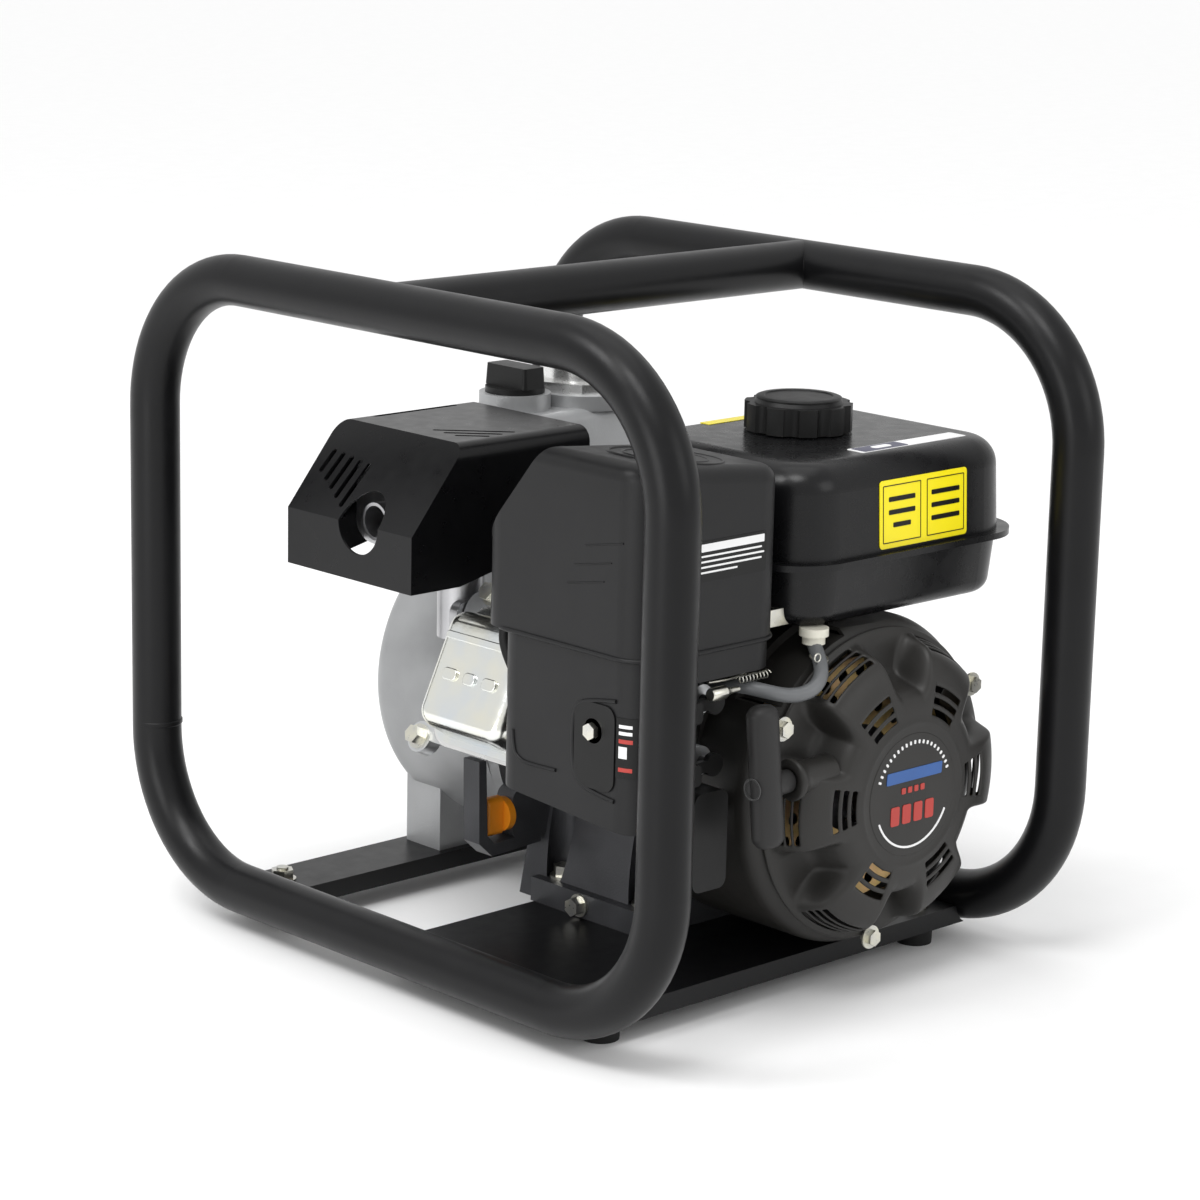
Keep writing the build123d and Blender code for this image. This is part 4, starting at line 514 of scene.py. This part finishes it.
# ---------------------------------------------------------------- fuel hose, lead and clips
HOSE_RADIUS, LEAD_RADIUS = 4.5, 3.5
HOSE_ROUTE = [
    (6, -178, 224), (-1, -191, 216), (-11, -201, 209), (-21, -202, 203), (-33, -197, 201),
    (-47, -189, 205), (-54, -175, 207), (-57, -157, 204), (-58, -139, 200),
]
tube("fuel_line", HOSE_ROUTE, HOSE_RADIUS, "hose_grey", replaces=["fuel_hose"])
clip = [
    (1.5 + 5.6 * math.cos(t), -187 + 5.2 * math.sin(t), 217.5 + 1.6 * math.sin(t))
    for t in [math.radians(20 * i) for i in range(18)]
]
tube("hose_clip", clip, 0.7, "zinc_steel", closed=True)
clip_loop = [
    (-7.5 + 2.6 * math.cos(t), -194, 220 + 2.6 * math.sin(t))
    for t in [math.radians(30 * i) for i in range(12)]
]
tube("hose_clip_eye", clip_loop, 0.6, "zinc_steel", closed=True)
HEAD_TILT = math.radians(25)
HEAD_OUT = Vector((-math.cos(HEAD_TILT), 0, math.sin(HEAD_TILT)))
HEAD_UP = Vector((math.sin(HEAD_TILT), 0, math.cos(HEAD_TILT)))
HEAD_RIGHT = Vector((0, -1, 0))
CYLINDER_FOOT = Vector((54, -20, 130))


def head_at(out, right, up):
    """Point on the cylinder head: out along the cylinder axis, right and up across it."""
    return CYLINDER_FOOT + out * HEAD_OUT + right * HEAD_RIGHT + up * HEAD_UP


plug_tip = head_at(184, 50, -20)
LEAD_ROUTE = [
    plug_tip + Vector((-2, 9, 4)), (plug_tip.x - 1, -44, plug_tip.z + 20), (-118, -36, 228), (-92, -32, 244),
    (-58, -34, 243), (-30, -40, 228), (-2, -54, 219), (30, -64, 212), (62, -68, 208), (86, -80, 206),
    (98, -99, 205),
]
tube("plug_lead", LEAD_ROUTE, LEAD_RADIUS, "black_rubber", replaces=["ignition_lead"])

# ---------------------------------------------------------------- rocker cover
COVER_OUT = 187.0
pressed = Form()
for offset, width in ((-21, 13), (-3, 11), (15, 13)):
    pressed.prism(rounded(width, 8, 3.4, centre=(offset - 3, -22)), head_at(COVER_OUT - 0.6, 0, 0),
                  HEAD_RIGHT, HEAD_UP, 2.2)
pressed.done("rocker_bars", "bright_zinc", bevel=0.9)
ridge = Form()
ridge.prism(rounded(66, 5, 2.4, centre=(-6, 2)), head_at(COVER_OUT - 0.4, 0, 0), HEAD_RIGHT, HEAD_UP, 1.4)
ridge.done("rocker_ridge", "bright_zinc", bevel=0.7)
gasket = Form().prism(rounded(95, 93, 16, centre=(-6, -18)), head_at(157.2, 0, 0), HEAD_RIGHT, HEAD_UP, 1.6)
gasket.done("rocker_gasket", "bright_aluminium", bevel=0.4)

# ---------------------------------------------------------------- air cleaner
cover_low = mm_box("air_cleaner_cover")[0]
LID_X, LID_TOP_Z, LID_RUN, LID_DROP = -150, 352, 119, 14      # the cover's top falls towards +X
LID_CENTRE = (-91, -145)


def on_lid(x, y, lift):
    """Point on the sloping top of the air cleaner cover."""
    return Vector((x, y, LID_TOP_Z - (x - LID_X) * LID_DROP / LID_RUN + lift))


for name, radius, thick in (("lid_ring_outer", 34, 1.0), ("lid_ring_inner", 25, 0.7)):
    ring_points = [
        on_lid(LID_CENTRE[0] + radius * math.cos(t), LID_CENTRE[1] + radius * math.sin(t), -0.2)
        for t in [2 * math.pi * i / 32 for i in range(32)]
    ]
    tube(name, ring_points, thick, "charcoal_plastic", closed=True)

seam_loop = [(x, y, 236.5) for x, y in rounded(119, 133, 20, centre=(-90.5, -121.5), steps=6)]
tube("lid_lip", seam_loop, 1.5, "charcoal_plastic", closed=True)
BASE_FACE_X = -148.6
STEP_LINE = ((-80, 176), (-81, 164), (-86, 159), (-96, 158), (-118, 159))
step_points = [(BASE_FACE_X, y, z) for y, z in STEP_LINE]
tube("base_step", step_points, 1.1, "charcoal_plastic")
RECESS_RIM = (
    (-168, 211), (-146, 208), (-135, 203), (-132, 194), (-132, 168), (-136, 158), (-146, 153), (-168, 151),
)
recess = [(BASE_FACE_X, y, z) for y, z in RECESS_RIM]
tube("base_recess_rim", recess, 1.3, "charcoal_plastic")
floor_of_recess = Form().prism(rounded(34, 52, 8), (-149.0, -151, 181), -Y, Z, 0.7)
floor_of_recess.done("base_recess", "black_plastic", bevel=0.3)
for i, (mid_z, mid_y) in enumerate(((301, -157), (288, -148), (276, -142))):
    mark = [(LID_X, mid_y + 16, mid_z - 2), (LID_X, mid_y, mid_z + 1), (LID_X, mid_y - 15, mid_z + 4)]
    tube(f"lid_mark_{i}", mark, 0.5, "charcoal_plastic", sides=2)

lid_plate = Form().prism(rounded(56, 24, 1.5, centre=(-77, 290.5)), (0, cover_low.y + 0.2, 0), X, Z, 0.6)
lid_plate.done("lid_plate", "plate_black")
line_at = (0, cover_low.y - 0.3, 0)
lines = Form()
lines.prism(rounded(52, 4.6, 0.4, centre=(-77, 298.6), steps=2), line_at, X, Z, 0.25)
for i, wide in enumerate((50, 52, 50, 30)):
    line_centre = (-103 + wide / 2, 293.6 - 3.2 * i)
    lines.prism(rounded(wide, 1.1, 0.3, centre=line_centre, steps=2), line_at, X, Z, 0.25)
lines.done("lid_plate_bars", "print_white")

CORNER_X, CORNER_Y, STRIP_DEPTH = -129.5, -167.5, 0.5


def corner_strip(form, start, end, low_z, high_z, radius):
    """Curved strip on the air cleaner's rounded front-left corner."""
    turns = [math.radians(start + (end - start) * i / 6) for i in range(7)]
    inner, outer = [
        [(CORNER_X + r * math.cos(t), CORNER_Y + r * math.sin(t)) for t in turns]
        for r in (radius, radius + STRIP_DEPTH)
    ]
    ring = inner + outer[::-1]
    form.loft([[(x, y, low_z) for x, y in ring], [(x, y, high_z) for x, y in ring]])


strip = Form()
corner_strip(strip, 184, 250, 166, 202, 19.0)
strip.done("control_plate", "plate_black", smooth_angle=60)
marks = Form()
for low_z, high_z, start, end in ((192, 194, 190, 215), (196, 198, 190, 215), (178, 185, 190, 206)):
    corner_strip(marks, start, end, low_z, high_z, 19.2)
marks.done("control_marks_white", "print_white", smooth_angle=60)
marks = Form()
for low_z, high_z in ((187, 189.4), (170, 172.4)):
    corner_strip(marks, 190, 216, low_z, high_z, 19.2)
marks.done("control_marks_red", "print_red", smooth_angle=60)

# ---------------------------------------------------------------- tank
TANK_FACE = Vector((0, -187.95, 273))
TANK_UP = Vector((0, math.sin(math.radians(3)), math.cos(math.radians(3))))
Form().prism(rounded(80, 42, 2.5, centre=(91, 25)), TANK_FACE, X, TANK_UP, 0.6).done(
    "tank_plate", "print_yellow")
PANEL_XS, PANEL_W, PANEL_H, PANEL_Z, HAIRLINE = (71, 111), 34, 35, 25, 0.6
plate_front = TANK_FACE - 0.6 * Y
frame_lines = Form()
for panel_x in PANEL_XS:
    for line_x, line_z, wide, high in (
        (panel_x, PANEL_Z + PANEL_H / 2, PANEL_W, HAIRLINE),
        (panel_x, PANEL_Z - PANEL_H / 2, PANEL_W, HAIRLINE),
        (panel_x - PANEL_W / 2, PANEL_Z, HAIRLINE, PANEL_H),
        (panel_x + PANEL_W / 2, PANEL_Z, HAIRLINE, PANEL_H),
    ):
        line = rounded(wide, high, 0.25, centre=(line_x, line_z), steps=1)
        frame_lines.prism(line, plate_front, X, TANK_UP, 0.2)
for i, widths in enumerate(((24, 26), (24, 26), (16, 26))):
    for panel_x, wide in zip(PANEL_XS, widths):
        bar = rounded(wide, 3, 0.6, centre=(panel_x, 34 - 8 * i), steps=2)
        frame_lines.prism(bar, plate_front, X, TANK_UP, 0.2)
frame_lines.done("tank_plate_bars", "plate_black")
TANK_TOP_Z = 333.0
for piece_name, outline, lift, depth, slot in (
    ("tank_top_plate", rounded(96, 14, 1.5, centre=(104, -160)), -0.2, 0.5, "print_white"),
    ("tank_top_mark", rounded(40, 12, 1.2, centre=(79, -160)), 0.2, 0.3, "print_navy"),
    ("tank_top_dot", rounded(16, 6, 2.9, centre=(80, -160)), 0.4, 0.3, "print_white"),
    ("tank_strip", rounded(70, 9, 1, centre=(84, -38)), -0.2, 0.5, "print_yellow"),
):
    Form().prism(outline, (0, 0, TANK_TOP_Z + lift), X, Y, depth).done(piece_name, slot)

CAP_X, CAP_Y = 82.0, -88.0
cap_top = Form().turned(
    [(0, 27), (0.8, 27), (1.4, 25.5), (1.4, 22), (0.7, 21), (0.7, 0)], (CAP_X, CAP_Y, TANK_TOP_Z + 20.6), Z
)
cap_top.done("cap_disc", "black_plastic", body="fuel_cap")

# ---------------------------------------------------------------- small hardware round the carburettor
channel = [(0, 0), (12, 0), (12, 2), (2.5, 2), (2.5, 9), (12, 9), (12, 11), (0, 11)]
Form().prism([(a - 6, b - 5.5) for a, b in channel], (-44, -162, 241), Y, Z, 45).done(
    "tank_stay", "zinc_steel", bevel=0.5)
PIN_PROFILE = [(0, 3.4), (1, 4), (12, 4), (13, 3), (17, 2), (24, 1.4)]
cable_end = Form().turned(PIN_PROFILE, (-86, -182, 207.5), X, count=24)
cable_end.done("governor_pin", "zinc_steel", smooth_angle=40)
rod_points = [(-84, -178, 214), (-60, -176, 212), (-40, -170, 214), (-24, -158, 222)]
tube("governor_rod", rod_points, 1.1, "zinc_steel")
COIL_R, COIL_TURN, COIL_STEP = 2.6, 0.9, 0.42      # radians and millimetres from point to point
coils = [
    (-62 + COIL_STEP * i, -182 + COIL_R * math.cos(i * COIL_TURN), 213 + COIL_R * math.sin(i * COIL_TURN))
    for i in range(60)
]
tube("governor_spring", coils, 0.45, "zinc_steel", sides=2)
